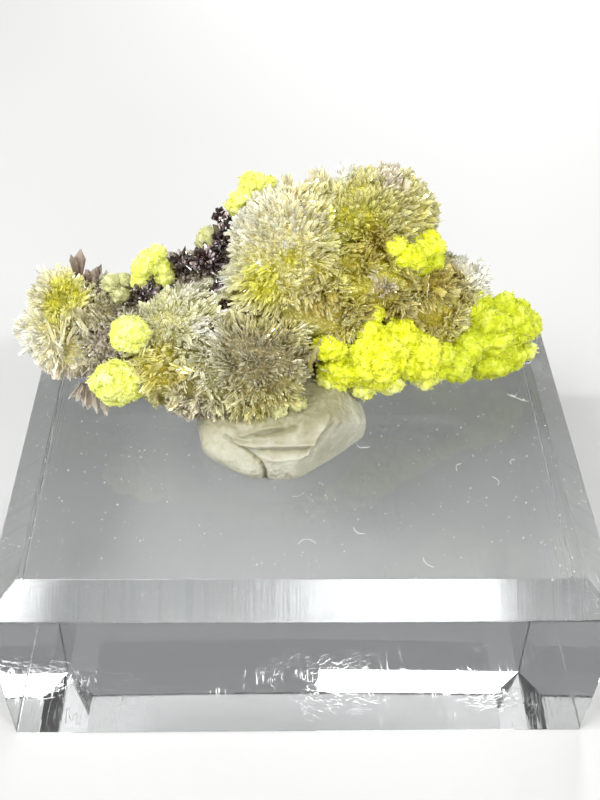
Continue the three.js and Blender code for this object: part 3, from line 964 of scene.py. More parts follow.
# The crusts: place, radii and look of their lumpy masses.
CRUSTS = {
    "yellow_green_crust_right": [
        ((1.4, 0.35, 5.6), (0.8, 0.65, 0.55), "sulphur"),
        ((2.3, 0.7, 3.9), (1.35, 1.0, 1.0), "sulphur"),
        ((4.0, 1.0, 4.4), (1.65, 1.6, 1.6), "sulphur"),
        ((3.9, 2.0, 6.6), (0.42, 0.45, 0.55), "sulphur"),
        ((3.4, 1.5, 5.8), (0.72, 0.75, 0.7), "sulphur"),
        ((5.3, 1.7, 5.25), (0.95, 0.95, 0.9), "sulphur"),
        ((6.4, 1.5, 4.0), (1.35, 1.3, 1.2), "sulphur"),
        # The frosty masses along the crust's lower edge are fluffier and flakier, and paler as
        # painted highlight.
        ((3.5, 0.45, 2.7), (0.65, 0.7, 0.5), "frost"),
        ((4.9, 0.8, 2.8), (0.75, 0.8, 0.5), "frost"),
        ((7.0, 1.4, 2.9), (0.9, 0.9, 0.5), "frost"),
        ((1.7, 0.4, 3.3), (0.85, 0.6, 0.45), "frost"),
        ((7.9, 1.7, 3.9), (0.6, 0.6, 0.5), "lime"),
        ((7.8, 1.5, 3.2), (0.7, 0.7, 0.6), "lime"),
        ((8.6, 2.0, 3.2), (1.0, 1.1, 0.9), "lime"),
        ((9.4, 2.9, 3.6), (0.95, 1.0, 0.9), "lime"),
        ((9.6, 4.7, 5.0), (1.2, 1.1, 0.95), "lime"),
        ((10.9, 4.0, 3.4), (1.6, 1.6, 1.9), "lime"),
        ((12.2, 4.5, 4.0), (1.3, 1.3, 1.25), "lime"),
        ((13.2, 4.6, 3.8), (0.65, 0.7, 0.65), "lime"),
        ((13.2, 4.0, 2.3), (0.5, 0.5, 0.5), "frost"),
        ((12.2, 3.7, 2.3), (1.0, 1.0, 0.9), "lime"),
        ((10.8, 3.1, 2.2), (1.3, 1.1, 0.85), "lime"),
        ((11.6, 4.9, 5.0), (0.55, 0.55, 0.45), "lime"),
    ],
    "yellow_green_crust_upper": [
        ((4.9, 3.7, 9.8), (0.42, 0.4, 0.4), "sulphur"),
        ((5.3, 3.7, 9.4), (0.62, 0.55, 0.58), "sulphur"),
        ((5.9, 4.0, 8.9), (0.62, 0.6, 0.62), "sulphur"),
        ((6.5, 4.9, 9.0), (0.62, 0.6, 0.62), "sulphur"),
        ((7.0, 5.1, 8.9), (0.66, 0.6, 0.66), "sulphur"),
        ((7.1, 4.8, 8.1), (0.66, 0.6, 0.66), "lime"),
        ((6.4, 4.4, 7.8), (0.66, 0.6, 0.6), "lime"),
    ],
    "yellow_green_tuft_top": [
        ((-2.6, 6.8, 11.7), (0.7, 0.65, 0.5), "pale"),
        ((-1.8, 6.9, 11.6), (0.35, 0.35, 0.35), "pale"),
        ((-3.4, 6.4, 10.6), (0.6, 0.6, 0.75), "pale"),
        ((-3.0, 6.6, 11.2), (0.5, 0.5, 0.45), "pale"),
    ],
    "yellow_green_tuft_left": [
        ((-8.3, 4.9, 7.9), (0.6, 0.6, 0.6), "pale"),
        ((-7.7, 4.8, 7.5), (0.5, 0.5, 0.5), "pale"),
        ((-8.9, 4.6, 7.6), (0.45, 0.45, 0.45), "pale"),
        ((-8.9, 4.4, 7.0), (0.42, 0.42, 0.5), "pale"),
        ((-7.5, 4.6, 7.0), (0.42, 0.42, 0.4), "pale"),
        ((-7.9, 5.0, 8.3), (0.38, 0.38, 0.35), "pale"),
    ],
    "yellow_green_ball_middle": [((-9.2, 0.9, 6.0), (1.02, 0.95, 0.88), "pale")],
    "yellow_green_ball_lower": [((-10.0, -0.3, 3.6), (1.3, 1.15, 1.1), "pale")],
}

# Small green lumps on the crystals: place, radii and look.
KNOBS = [
    ((-5.2, 5.8, 8.7), (0.6, 0.55, 0.58), "dull"),
    ((-10.6, 4.8, 6.4), (0.42, 0.4, 0.45), "dull"),
    ((-10.1, 4.5, 5.9), (0.4, 0.4, 0.36), "dull"),
    ((-9.8, 4.9, 6.6), (0.3, 0.3, 0.3), "dull"),
    ((-1.3, -2.1, 3.3), (0.45, 0.4, 0.4), "dull"),
    ((-0.3, -1.7, 3.4), (0.4, 0.4, 0.36), "dull"),
]

# Colours of a crust in its hollows, darker there as painted shade, on its body and on its tops,
# paler there as painted highlight, then the size of its lobes, how fluffy it is and its share of
# flakes.
CRUST_LOOKS = {
    "sulphur": CrustLook((0.58, 0.6, 0.0), (0.73, 0.77, 0.005), (0.84, 0.87, 0.12), 0.34, 1.3, 0.8),
    # The frosty look: fluffier and flakier, and paler as painted highlight.
    "frost": CrustLook((0.52, 0.56, 0.01), (0.78, 0.81, 0.12), (0.92, 0.93, 0.5), 0.26, 1.2, 1.0),
    "lime": CrustLook((0.38, 0.4, 0.0), (0.56, 0.62, 0.01), (0.8, 0.87, 0.18), 0.44, 0.7, 0.6),
    "dull": CrustLook((0.28, 0.27, 0.1), (0.5, 0.5, 0.24), (0.74, 0.75, 0.46), 0.2, 0.9, 0.7),
    "pale": CrustLook((0.4, 0.44, 0.02), (0.7, 0.74, 0.13), (0.9, 0.92, 0.46), 0.27, 1.0, 0.5),
}

# The tack: place and radii of the squeezed ball.
TACK_CENTRE = (-1.1, -0.2, 0.7)
TACK_RADII = (4.75, 3.95, 3.3)


# ---- How the laths grow ----

# No lath ends within this share of the radii of a rock lump or a crust, or this near the block.
ROCK_HIDES = 0.9
CRUST_HIDES = 1.02
BLOCK_CLEARANCE = 0.15

# Tones of single laths, how late along a lath its tip's colour comes, and the palest colour.
LATH_TONES = (0.75, 1.09)
TIP_COLOUR_LATE = 1.8
PALEST = 0.95
# Stripes run along a lath and start from another place on each.
STRIPE_STRETCH = (1.0, 1.0, 0.12)
STRIPE_SHIFT = 50

# Rosettes melt into each other over this length. Their solid roots lie this deep.
JOIN_SOFTNESS = 0.5
CORE_DEPTH = 0.6
ROOT_VOXEL = 0.33
# Places are drawn onto a skin in this many steps. Where the way out is unclear a step stays short.
DRAWING_STEPS = 4
LEAST_SLOPE = 0.25
# Places this far inside another rosette belong to that one.
ROSETTE_OVERLAP = 0.12

# How a rosette turns to its second look, and how a patch fades from its edge inwards.
LOOK_TURN = (-0.25, 0.7)
LOOK_DRIFT = ((0.25, 1.4, 3), (0.15, 0.6, 8))
PATCH_FADE = (1.15, 0.6)
PATCH_EDGE = ((0.3, 0.8, 12), (0.12, 0.3, 13))
PATCH_STRENGTH = 0.85

# Hubs, from which small fans of laths come: fewest on a rosette, then in fan sizes the area that
# each covers, how deep its laths start, its size and how far its laths reach.
FEWEST_HUBS = 5
HUB_AREA = 1.7
HUB_DEPTH = 0.8
HUB_SIZES = (0.9, 1.15)
HUB_REACH = 1.1
# How far heads beyond the reach are drawn back at most.
DEEPEST_DROP = 0.3
# Fans mix at their edges over this length, and differ a little in tone.
HUB_MIXING = 0.22
HUB_TONE = 0.15

# How many laths lie over each spot, the length of each that counts for this, and how many laths
# make a book.
LATH_COVER = 2.6
LATH_SHOWS = 0.36
SHEETS = (2, 5)
# How high the heads of the books lie over the mass, their scatter, their hills and the roots'.
HEAD_LEVEL = -0.14
HEAD_SCATTER = 0.05
HEAD_RELIEF = ((0.26, 1.5, 3), (0.12, 0.5, 4))
ROOT_RELIEF = ((0.12, 1.2, 3), (0.08, 0.4, 5))

# Books lean with a slow sway and by chance, and turn about their length.
SWAY = 0.6
SWAY_SIZE = 0.7
SWAY_SEEDS = (31, 32, 33)
CHANCE_LEAN = (0.02, 0.35)
CHANCE_TURN = 0.7
# A few bold books are wider and rise out of the rest.
BOLD_SHARE = 0.09
BOLD_WIDTH = 1.65
BOLD_RISE = 0.4
# Laths in a book, in book widths: how far apart, how far they slip sideways, their widths and
# their thicknesses.
SHEET_SPACING = 0.5
SHEET_SLIP = 0.5
LATH_WIDTHS = (0.6, 1.25)
LATH_THICKNESSES = (0.3, 0.5)
# Their lengths, how they fan out, by chance too, and how far back they lie. Most lie well out.
LATH_LENGTHS = (0.7, 1.25)
SHEET_FAN = 0.05
FAN_SCATTER = 0.06
DEEPEST_BACK = 0.55
MOSTLY_OUT = 1.6
# Tips that lie back take on this much of the foot's colour, as painted shade deep among the laths.
SUNK_TIP_SHADE = 0.5

# Blades of a tuft: how far apart their feet are in widths, then shares of the tuft's length and
# of its width, for their widths and thicknesses.
TUFT_FEET = 0.35
TUFT_LENGTHS = (0.6, 1.0)
TUFT_WIDTHS = (0.7, 1.15)
TUFT_THICKNESSES = (0.3, 0.6)


def buried(tips):
    """Which tips lie in a cleft or inside the rock, a crust, the tack or the block."""
    hidden = tips[:, 2] < BLOCK_TOP + BLOCK_CLEARANCE
    hidden |= inside(tips, over_block(TACK_CENTRE), np.array(TACK_RADII))
    for place, radius in CLEFTS:
        hidden |= inside(tips, over_block(place), radius)
    for place, radii in ROCK_LUMPS:
        hidden |= inside(tips, over_block(place), np.array(radii) * ROCK_HIDES)
    for masses in CRUSTS.values():
        for place, radii, _ in masses:
            hidden |= inside(tips, over_block(place), np.array(radii) * CRUST_HIDES)
    return hidden


def look_colours(first, second, share):
    """Foot and tip colours for laths whose look turns from the first to the second."""
    share = share[:, None]
    return [
        blend(np.array(a)[None], np.array(b)[None], share)
        for a, b in zip(LOOKS[first], LOOKS[second])
    ]


def add_laths(build, forms, feet, tips, facing, widths, thickness, colours, chance, material=0):
    """Adds laths from their feet to their tips, coloured from the foot to the tip."""
    tips = np.clip(tips, piece_low, piece_high)
    foot_colours, tip_colours = colours
    along = tips - feet
    lengths = np.linalg.norm(along, axis=1)
    sizes = np.stack([widths, thickness, lengths], axis=1)
    kinds = chance.integers(0, len(forms), len(feet))
    tone = chance.uniform(*LATH_TONES, len(feet))
    for kind, form in enumerate(forms):
        chosen = kinds == kind
        if not chosen.any():
            continue
        corners, faces, own = set_forms(
            form, feet[chosen], along[chosen], facing[chosen], sizes[chosen]
        )
        reach = form[0][:, 2][None, :, None] ** TIP_COLOUR_LATE
        tint = blend(foot_colours[chosen][:, None], tip_colours[chosen][:, None], reach)
        tint = np.clip(tint * tone[chosen][:, None, None], 0, PALEST)
        shift = chance.uniform(-STRIPE_SHIFT, STRIPE_SHIFT, (chosen.sum(), 1, 3))
        build.add(
            corners,
            faces,
            material,
            crystal_tint=solid_colours(tint.reshape(-1, 3)),
            crystal_grain=(own * STRIPE_STRETCH + shift).reshape(-1, 3),
        )


def mass_depth(points, balls):
    """How far out of the grown-together balls each place is, the way out from there and each
    ball's share in it."""
    centres, radii = balls
    away = points[:, None] - centres
    distance = np.linalg.norm(away, axis=2)
    depth, share = soft_join(distance - radii, JOIN_SOFTNESS)
    outward = (share[:, :, None] * away / distance[:, :, None]).sum(axis=1)
    return depth, outward, share


def draw_to_mass(points, balls, level):
    """Moves places onto the skin that lies one level out of the grown-together balls."""
    for _ in range(DRAWING_STEPS):
        depth, outward, _ = mass_depth(points, balls)
        slope = (outward**2).sum(axis=1, keepdims=True)
        points = points + outward * (level - depth)[:, None] / np.maximum(slope, LEAST_SLOPE)
    return points


def mass_samples(balls, counts, chance):
    """Places spread over the skin of the grown-together balls, and the ball each came from."""
    centres, radii = balls
    places, owners = [], []
    for index, count in enumerate(counts):
        points = centres[index] + radii[index] * spread_directions(int(count), chance)
        gaps = np.linalg.norm(points[:, None] - centres, axis=2) - radii
        gaps[:, index] = 1
        places.append(points[gaps.min(axis=1) > -ROSETTE_OVERLAP])
        owners.append(np.full(len(places[-1]), index))
    return draw_to_mass(np.concatenate(places), balls, 0), np.concatenate(owners)


def mixed_looks(points, outward, share, rosettes):
    """Foot and tip colours at each place, blended from the rosettes near it, then the patches."""
    colours = [np.zeros((len(points), 3)), np.zeros((len(points), 3))]
    drift = relief(points, LOOK_DRIFT)
    for index, rosette in enumerate(rosettes):
        facing = outward @ unit(np.array(rosette.side, float))
        turned = smooth_step(*LOOK_TURN, facing + drift)
        for total, colour in zip(colours, look_colours(rosette.look, rosette.side_look, turned)):
            total += share[:, index, None] * colour
    edge = relief(points, PATCH_EDGE)
    for place, radius, look in LOOK_PATCHES:
        distance = np.linalg.norm(points - over_block(place), axis=1)
        patch = PATCH_STRENGTH * smooth_step(*PATCH_FADE, distance / radius + edge)
        colours = [blend(colour, own, patch[:, None]) for colour, own in zip(colours, LOOKS[look])]
    return colours


def ball_areas(balls):
    return 4 * math.pi * balls[1] ** 2


def set_hubs(balls, fans, leans, chance):
    """Hubs over the mass: their places, the deep places their laths come from, sizes and tones."""
    fan_sizes = np.maximum(fans, 1)
    counts = np.maximum(FEWEST_HUBS, ball_areas(balls) / (HUB_AREA * fan_sizes**2))
    hubs, owners = mass_samples(balls, counts, chance)
    _, outward, _ = mass_depth(hubs, balls)
    sizes = fan_sizes[owners] * chance.uniform(*HUB_SIZES, len(hubs))
    roots = hubs - unit(outward) * fan_sizes[owners][:, None] * HUB_DEPTH + leans[owners]
    return hubs, roots, sizes, chance.uniform(-1, 1, len(hubs))


def drawn_to_hub(away, size):
    """How far heads past their hub's reach are drawn back towards it."""
    distance = np.linalg.norm(away, axis=1, keepdims=True)
    drop = away * np.maximum(0, 1 - HUB_REACH * size[:, None] / distance)
    length = np.linalg.norm(drop, axis=1, keepdims=True)
    return drop * np.minimum(1, DEEPEST_DROP / np.maximum(length, 0.01))


def grow_laths(builds, balls, rosettes, groups, chance):
    """Small books of laths in fans all over the grown-together mass."""
    centres, radii = balls
    widths = np.array([rosette.width for rosette in rosettes])
    fans = np.array([rosette.fan for rosette in rosettes])
    leans = np.array([rosette.lean for rosette in rosettes]) * radii[:, None]
    hubs, hub_roots, hub_sizes, hub_tones = set_hubs(balls, fans, leans, chance)
    counts = ball_areas(balls) / (widths * LATH_SHOWS) * LATH_COVER / np.mean(SHEETS)
    all_places, all_owners = mass_samples(balls, counts, chance)
    for group, build in enumerate(builds):
        mine = groups[all_owners] == group
        places, owners = all_places[mine], all_owners[mine]
        kept = ~buried(places)
        places, owners = places[kept], owners[kept]
        _, outward, share = mass_depth(places, balls)
        outward = unit(outward)
        nearness = np.linalg.norm(places[:, None] - hubs, axis=2)
        hub = np.argmin(nearness + chance.normal(0, HUB_MIXING, nearness.shape), axis=1)
        single = (fans[owners] == 0)[:, None]
        drop = drawn_to_hub(places - hub_roots[hub], hub_sizes[hub])
        heads = np.where(single, places, places - drop)
        roots = np.where(single, centres[owners] + leans[owners], hub_roots[hub])
        level = relief(places, HEAD_RELIEF) + HEAD_LEVEL
        level = level + HEAD_SCATTER * chance.normal(0, 1, len(places))
        heads = heads + outward * level[:, None]
        toned = outward + HUB_TONE * hub_tones[hub][:, None]
        colours = mixed_looks(places, toned, share, rosettes)
        add_books(build, heads, roots, outward, widths[owners], colours, chance)


def add_books(build, heads, roots, outward, widths, colours, chance):
    """Books of a few laths side by side, each book's heads in one place. A few books stand out."""
    count = len(heads)
    bold = chance.uniform(0, 1, count) < BOLD_SHARE
    widths = widths * np.where(bold, BOLD_WIDTH, 1)
    along = unit(heads - roots)
    heads = heads + along * np.where(bold, chance.uniform(0.0, BOLD_RISE, count), 0)[:, None]
    sway = np.stack([hills(heads, SWAY_SIZE, seed) for seed in SWAY_SEEDS], axis=1)
    lean = sideways(along, chance) * chance.uniform(*CHANCE_LEAN, (count, 1))
    along = unit(along + SWAY * sway + lean)
    across = unit(np.cross(outward + chance.normal(0, CHANCE_TURN, (count, 3)), along))
    flat = np.cross(along, across)
    sheets = chance.integers(*SHEETS, count)
    book = np.repeat(np.arange(count), sheets)
    rank = np.arange(len(book)) - np.repeat(np.cumsum(sheets) - sheets, sheets)
    rank = (rank - (sheets[book] - 1) / 2)[:, None]
    width = widths[book][:, None]
    slip = chance.normal(0, SHEET_SLIP, (len(book), 1)) * width
    sunk = chance.uniform(0, 1, (len(book), 1)) ** MOSTLY_OUT
    tips = heads[book] + flat[book] * rank * width * SHEET_SPACING
    tips = tips + across[book] * slip - along[book] * (DEEPEST_BACK * sunk)
    fan_out = along[book] + flat[book] * rank * SHEET_FAN
    fan_out = fan_out + FAN_SCATTER * chance.normal(0, 1, (len(book), 3))
    lengths = chance.uniform(*LATH_LENGTHS, (len(book), 1))
    foot_colours, tip_colours = (colour[book] for colour in colours)
    add_laths(
        build,
        LATHS,
        tips - unit(fan_out) * lengths,
        tips,
        flat[book],
        width[:, 0] * chance.uniform(*LATH_WIDTHS, len(book)),
        width[:, 0] * chance.uniform(*LATH_THICKNESSES, len(book)),
        # Tips set back darken towards the foot's colour: painted shade.
        [foot_colours, blend(tip_colours, foot_colours, SUNK_TIP_SHADE * sunk)],
        chance,
    )


def build_roots(balls, rosettes, mass):
    """The solid mass that the laths grow out of."""
    forms = Build()
    for centre, radius in zip(*balls):
        add_balls(forms, centre[None], np.full((1, 3), 2 * radius - 2 * CORE_DEPTH), 3)
    corners, _, faces = fused_skin(forms, ROOT_VOXEL)
    corners = draw_to_mass(corners, balls, -CORE_DEPTH)
    _, outward, share = mass_depth(corners, balls)
    outward = unit(outward)
    roots = Build()
    roots.add(
        corners + outward * relief(corners, ROOT_RELIEF)[:, None],
        faces,
        smooth=True,
        crystal_tint=solid_colours(mixed_looks(corners, outward, share, rosettes)[0]),
    )
    roots.piece("crystal_roots", [mass], "crystal_cluster", "pale_crystal")


def add_tuft(build, tuft, chance):
    """Broad blades that point one way."""
    aim = np.repeat([unit(np.array(tuft.direction, float))], tuft.count, 0)
    swing = np.sqrt(chance.uniform(0, 1, (tuft.count, 1))) * math.radians(tuft.spread)
    outward = aim * np.cos(swing) + sideways(aim, chance) * np.sin(swing)
    feet = over_block(tuft.place)
    feet = feet + chance.normal(0, TUFT_FEET * tuft.width, (tuft.count, 3))
    tips = feet + outward * tuft.length * chance.uniform(*TUFT_LENGTHS, (tuft.count, 1))
    kept = ~buried(tips)
    colours = look_colours(tuft.look, tuft.look, np.zeros(tuft.count))
    add_laths(
        build,
        SPEARS,
        feet[kept],
        tips[kept],
        sideways(outward, chance)[kept],
        tuft.width * chance.uniform(*TUFT_WIDTHS, kept.sum()),
        tuft.width * chance.uniform(*TUFT_THICKNESSES, kept.sum()),
        [colour[kept] for colour in colours],
        chance,
    )


def build_rosettes(laths, mass):
    chance = np.random.default_rng(40)
    rosettes = [Rosette(*row) for rows in ROSETTES.values() for row in rows]
    groups = np.repeat(np.arange(len(ROSETTES)), [len(rows) for rows in ROSETTES.values()])
    balls = (
        np.array([over_block(rosette.place) for rosette in rosettes]),
        np.array([rosette.radius for rosette in rosettes]),
    )
    builds = [Build() for _ in ROSETTES]
    grow_laths(builds, balls, rosettes, groups, chance)
    for name, build in zip(ROSETTES, builds):
        for row in TUFTS.get(name, []):
            add_tuft(build, Tuft(*row), chance)
        build.piece(name, [laths], "crystal_cluster", "pale_crystal")
    build_roots(balls, rosettes, mass)


# ---- Rock and dark crystals ----

ROCK_RELIEF = ((0.22, 1.1, 1), (0.1, 0.4, 2))
ROCK_VOXEL = 0.3
# The rock's skin lies a little inside its lumps.
ROCK_SKIN = 0.97

# The rock's small crystals: how many on a square millimetre, how deep they are set, how they
# lean, their lengths, widths and thicknesses.
SMALL_CRYSTALS = 22
SMALL_SET_IN = 0.12
SMALL_LEAN = 0.45
SMALL_LENGTHS = (0.25, 0.62)
SMALL_WIDTHS = (0.08, 0.2)
SMALL_THICKNESSES = (0.05, 0.12)
# None grow where this far out from the rock there is something else.
SMALL_ROOM = 0.2
# From left to right they turn from smoky to olive between these places.
SMOKY_END = -7
OLIVE_START = -2
SMOKY_EDGE = ((2, 2.0, 9),)

# The dark crystals: how far out of the group's middle they start and how long they are, as
# shares of its radius, how they lean, which way they all tend, their widths and thicknesses.
DARK_FEET = (0.1, 0.6)
DARK_LENGTHS = (0.35, 0.75)
DARK_LEAN = 0.5
DARK_TEND = (0, -0.2, 0.5)
DARK_WIDTHS = (0.14, 0.5)
DARK_THICKNESSES = (0.05, 0.24)
DARK_COLOUR = (0.04, 0.02, 0.022)
# Some of them are pale and narrower: partly real pale laths, partly painted glints on the dark
# crystals.
PALE_GLINT_SHARE = 0.32
PALE_GLINT_COLOUR = (0.84, 0.83, 0.82)
PALE_GLINT_NARROWER = 0.55


def surface_points(lumps, per_area, chance):
    """Places and outward directions spread over the outside of overlapping lumps."""
    places, normals = [], []
    for place, radii in lumps:
        radii = np.array(radii, float)
        count = int(4 * math.pi * np.mean(radii) ** 2 * per_area)
        ball = spread_directions(count, chance, 0.6)
        points = over_block(place) + ball * radii
        covered = np.zeros(count, bool)
        for other, other_radii in lumps:
            if other != place:
                covered |= inside(points, over_block(other), ROCK_SKIN * np.array(other_radii))
        places.append(points[~covered])
        normals.append(unit(ball / radii)[~covered])
    return np.concatenate(places), np.concatenate(normals)


def build_rock(stone, laths, chance):
    """Matrix rock with a crust of small crystals."""
    lumps = Build()
    for place, radii in ROCK_LUMPS:
        add_balls(lumps, over_block(place)[None], 2 * np.array([radii]) * ROCK_SKIN, 4)
    corners, normals, faces = fused_skin(lumps, ROCK_VOXEL)
    rock = Build()
    rock.add(
        corners + normals * relief(corners, ROCK_RELIEF)[:, None],
        faces,
        crystal_tint=np.ones((len(corners), 4)),
        crystal_grain=corners,
    )
    points, outward = surface_points(ROCK_LUMPS, SMALL_CRYSTALS, chance)
    count = len(points)
    along = unit(outward + SMALL_LEAN * chance.normal(0, 1, (count, 3)))
    feet = points - outward * SMALL_SET_IN
    tips = feet + along * chance.uniform(*SMALL_LENGTHS, (count, 1))
    kept = ~buried(tips + outward * SMALL_ROOM)
    across = points[:, 0] + relief(points, SMOKY_EDGE)
    share = smooth_step(SMOKY_END, OLIVE_START, across)
    add_laths(
        rock,
        [BLOCKY_PRISM, LATHS[0], SPEARS[0]],
        feet[kept],
        tips[kept],
        sideways(along, chance)[kept],
        chance.uniform(*SMALL_WIDTHS, kept.sum()),
        chance.uniform(*SMALL_THICKNESSES, kept.sum()),
        [colour[kept] for colour in look_colours("smoky", "olive", share)],
        chance,
        material=1,
    )
    rock.piece("matrix_rock", [stone, laths], "crystal_cluster", "matrix_rock")


def build_dark_crystals(dark, chance):
    """Groups of dark crystals in the clefts, some of them pale: partly pale laths, partly painted
    glints.
    """
    crystals = Build()
    for place, radius, count in DARK_GROUPS:
        outward = spread_directions(count, chance, 0.5)
        feet = over_block(place) + outward * radius * chance.uniform(*DARK_FEET, (count, 1))
        along = unit(outward + DARK_LEAN * chance.normal(0, 1, (count, 3)) + DARK_TEND)
        tips = feet + along * radius * chance.uniform(*DARK_LENGTHS, (count, 1))
        facing = sideways(along, chance)
        # Pale crystals, partly standing in for glints on the dark ones: painted highlight.
        pale_and_glinting = chance.uniform(0, 1, (count, 1)) < PALE_GLINT_SHARE
        tint = np.where(pale_and_glinting, PALE_GLINT_COLOUR, DARK_COLOUR)
        narrower = np.where(pale_and_glinting[:, 0], PALE_GLINT_NARROWER, 1)
        add_laths(
            crystals,
            [HEXAGONAL_PRISM, BLOCKY_PRISM, LATHS[1], LATHS[3]],
            feet,
            tips,
            facing,
            chance.uniform(*DARK_WIDTHS, count) * narrower,
            chance.uniform(*DARK_THICKNESSES, count),
            [tint, tint],
            chance,
        )
    crystals.piece("dark_crystals", [dark], "crystal_cluster", "dark_crystal")


# ---- Crusts ----

# The lumpy masses of a crust melt into each other over this length.
CRUST_SOFTNESS = 0.15
CRUST_VOXEL = 0.075
CRUST_MELTING = 6

# Lobes on a mass, in the lobe size of its look: how thick they lie on its core, how far apart,
# their sizes, how deep each sits in its own size, how they stretch.
LOBE_LAYER = 0.45
LOBE_SPACING = 1.25
LOBE_SIZES = (0.55, 1.25)
LOBE_DEPTHS = (0.6, 1.1)
LOBE_STRETCH = (0.6, 1.35)
# Lobes keep this far over the block.
LOBE_CLEARANCE = 0.5

# The skin's swells and, for a fluffy look, its ridges and its fine ridges: height and size.
SWELLS = (0.08, 0.7)
RIDGES = (0.1, 0.34)
FINE_RIDGES = (0.05, 0.17)
SKIN_RISE = 0.02

# The colour goes from hollow to body and from body to top between these levels: painted shade
# in the creases and painted highlight on the tops.
CRUST_DRIFT = ((0.22, 0.9, 5), (0.1, 0.35, 6))
BODY_LEVELS = (0.1, 0.5)
TOP_LEVELS = (0.62, 1.05)
TOP_STRENGTH = 0.8

# Flakes: share of the skin's corners that carry one, how deep it is set, how it leans, the
# level of its colour, how much of the top's colour, a painted highlight, its tip has, and its sizes.
FLAKE_SHARE = 0.14
FLAKE_SET_IN = 0.03
FLAKE_LEAN = 0.7
FLAKE_LEVEL = 0.75
FLAKE_TOP = 0.6
FLAKE_LENGTHS = (0.06, 0.22)
FLAKE_WIDTHS = (0.05, 0.12)
FLAKE_THICKNESSES = (0.02, 0.05)


def crust_depth(points, masses):
    """How far out of the masses each place is and each mass's share in it."""
    centres = np.array([over_block(mass.place) for mass in masses])
    radii = np.array([mass.radii for mass in masses])
    ratio = np.linalg.norm((points[:, None] - centres) / radii, axis=2)
    return soft_join((ratio - 1) * radii.mean(axis=1), CRUST_SOFTNESS)


def mixed_crust(share, masses, trait):
    """One trait of the crust's look at each place, mixed from the looks of its masses."""
    return share @ np.array([getattr(CRUST_LOOKS[mass.look], trait) for mass in masses])


def crust_colours(points, height, share, masses):
    """The crust's colour from its hollows to its tops: painted shade low down, painted highlight on
    top.
    """
    level = (height + relief(points, CRUST_DRIFT))[:, None]
    hollow, body, top = (mixed_crust(share, masses, tone) for tone in ("hollow", "body", "top"))
    tint = blend(hollow, body, smooth_step(*BODY_LEVELS, level))
    return blend(tint, top, TOP_STRENGTH * smooth_step(*TOP_LEVELS, level))


def add_flakes(build, corners, normals, share, masses, chance):
    """Tiny flakes that stand on the crust's skin."""
    likely = FLAKE_SHARE * mixed_crust(share, masses, "flakes")
    chosen = np.flatnonzero(chance.uniform(0, 1, len(corners)) < likely)
    points, outward, share = corners[chosen], normals[chosen], share[chosen]
    along = unit(outward + FLAKE_LEAN * chance.normal(0, 1, (len(chosen), 3)))
    foot = crust_colours(points, np.full(len(points), FLAKE_LEVEL), share, masses)
    add_laths(
        build,
        [FLAKE],
        points - outward * FLAKE_SET_IN,
        points + along * chance.uniform(*FLAKE_LENGTHS, (len(chosen), 1)),
        sideways(along, chance),
        chance.uniform(*FLAKE_WIDTHS, len(chosen)),
        chance.uniform(*FLAKE_THICKNESSES, len(chosen)),
        [foot, blend(foot, mixed_crust(share, masses, "top"), FLAKE_TOP)],
        chance,
        material=1,
    )


def ridged(points, size, seed):
    """Noise with sharp ridges at 1 and hollows down to about -1."""
    return 1 - 2 * np.abs(hills(points, size, seed))


def add_lobes(lumps, mass, chance):
    """A mass of the crust: a core with stretched lobes all over it."""
    lobe = CRUST_LOOKS[mass.look].lobe
    centre = over_block(mass.place)
    radii = np.array(mass.radii, float)
    add_balls(lumps, centre[None], 2 * (radii - lobe * LOBE_LAYER)[None], 3)
    count = int(4 * math.pi * np.mean(radii) ** 2 / (lobe * LOBE_SPACING) ** 2)
    ball = spread_directions(count, chance, 0.5)
    size = lobe * chance.uniform(*LOBE_SIZES, count)[:, None]
    places = centre + ball * (radii - size * chance.uniform(*LOBE_DEPTHS, (count, 1)))
    sizes = 2 * size * chance.uniform(*LOBE_STRETCH, (count, 3))
    above = places[:, 2] > BLOCK_TOP + LOBE_CLEARANCE
    add_balls(lumps, places[above], sizes[above], 2)


def build_crust(name, node, rows, crusts, seed):
    """A lumpy crust: lobes fused into one skin, ruffled, with small flakes on it."""
    masses = [Mass(*row) for row in rows]
    chance = np.random.default_rng(seed)
    lumps = Build()
    for mass in masses:
        add_lobes(lumps, mass, chance)
    corners, normals, faces = fused_skin(lumps, CRUST_VOXEL, CRUST_MELTING)
    depth, share = crust_depth(corners, masses)
    fluff = mixed_crust(share, masses, "fluff")
    ridges = ridged(corners, RIDGES[1], seed + 1)
    fine = ridged(corners, FINE_RIDGES[1], seed + 2)
    rise = SWELLS[0] * hills(corners, SWELLS[1], seed) + SKIN_RISE
    rise += fluff * (RIDGES[0] * ridges + FINE_RIDGES[0] * fine)
    # The colour's height, which sets the painted shade and highlight: tops of lobes and ridges are
    # high, the creases between them low.
    height = 0.5 + 0.6 * depth + 0.3 * ridges * fluff + 0.15 * fine
    corners = np.clip(corners + normals * rise[:, None], piece_low, piece_high)
    crust = Build()
    crust.add(
        corners,
        faces,
        smooth=True,
        crystal_tint=solid_colours(crust_colours(corners, height, share, masses)),
        crystal_grain=corners,
    )
    add_flakes(crust, corners, normals, share, masses, chance)
    crust.piece(name, crusts, node, "yellow_green_crust")


def build_crusts(crusts):
    for index, (node, rows) in enumerate(CRUSTS.items()):
        build_crust(node + "_skin", node, rows, crusts, 70 + index)
    build_crust("small_green_lumps", "crystal_cluster", KNOBS, crusts, 90)


# ---- Tack ----

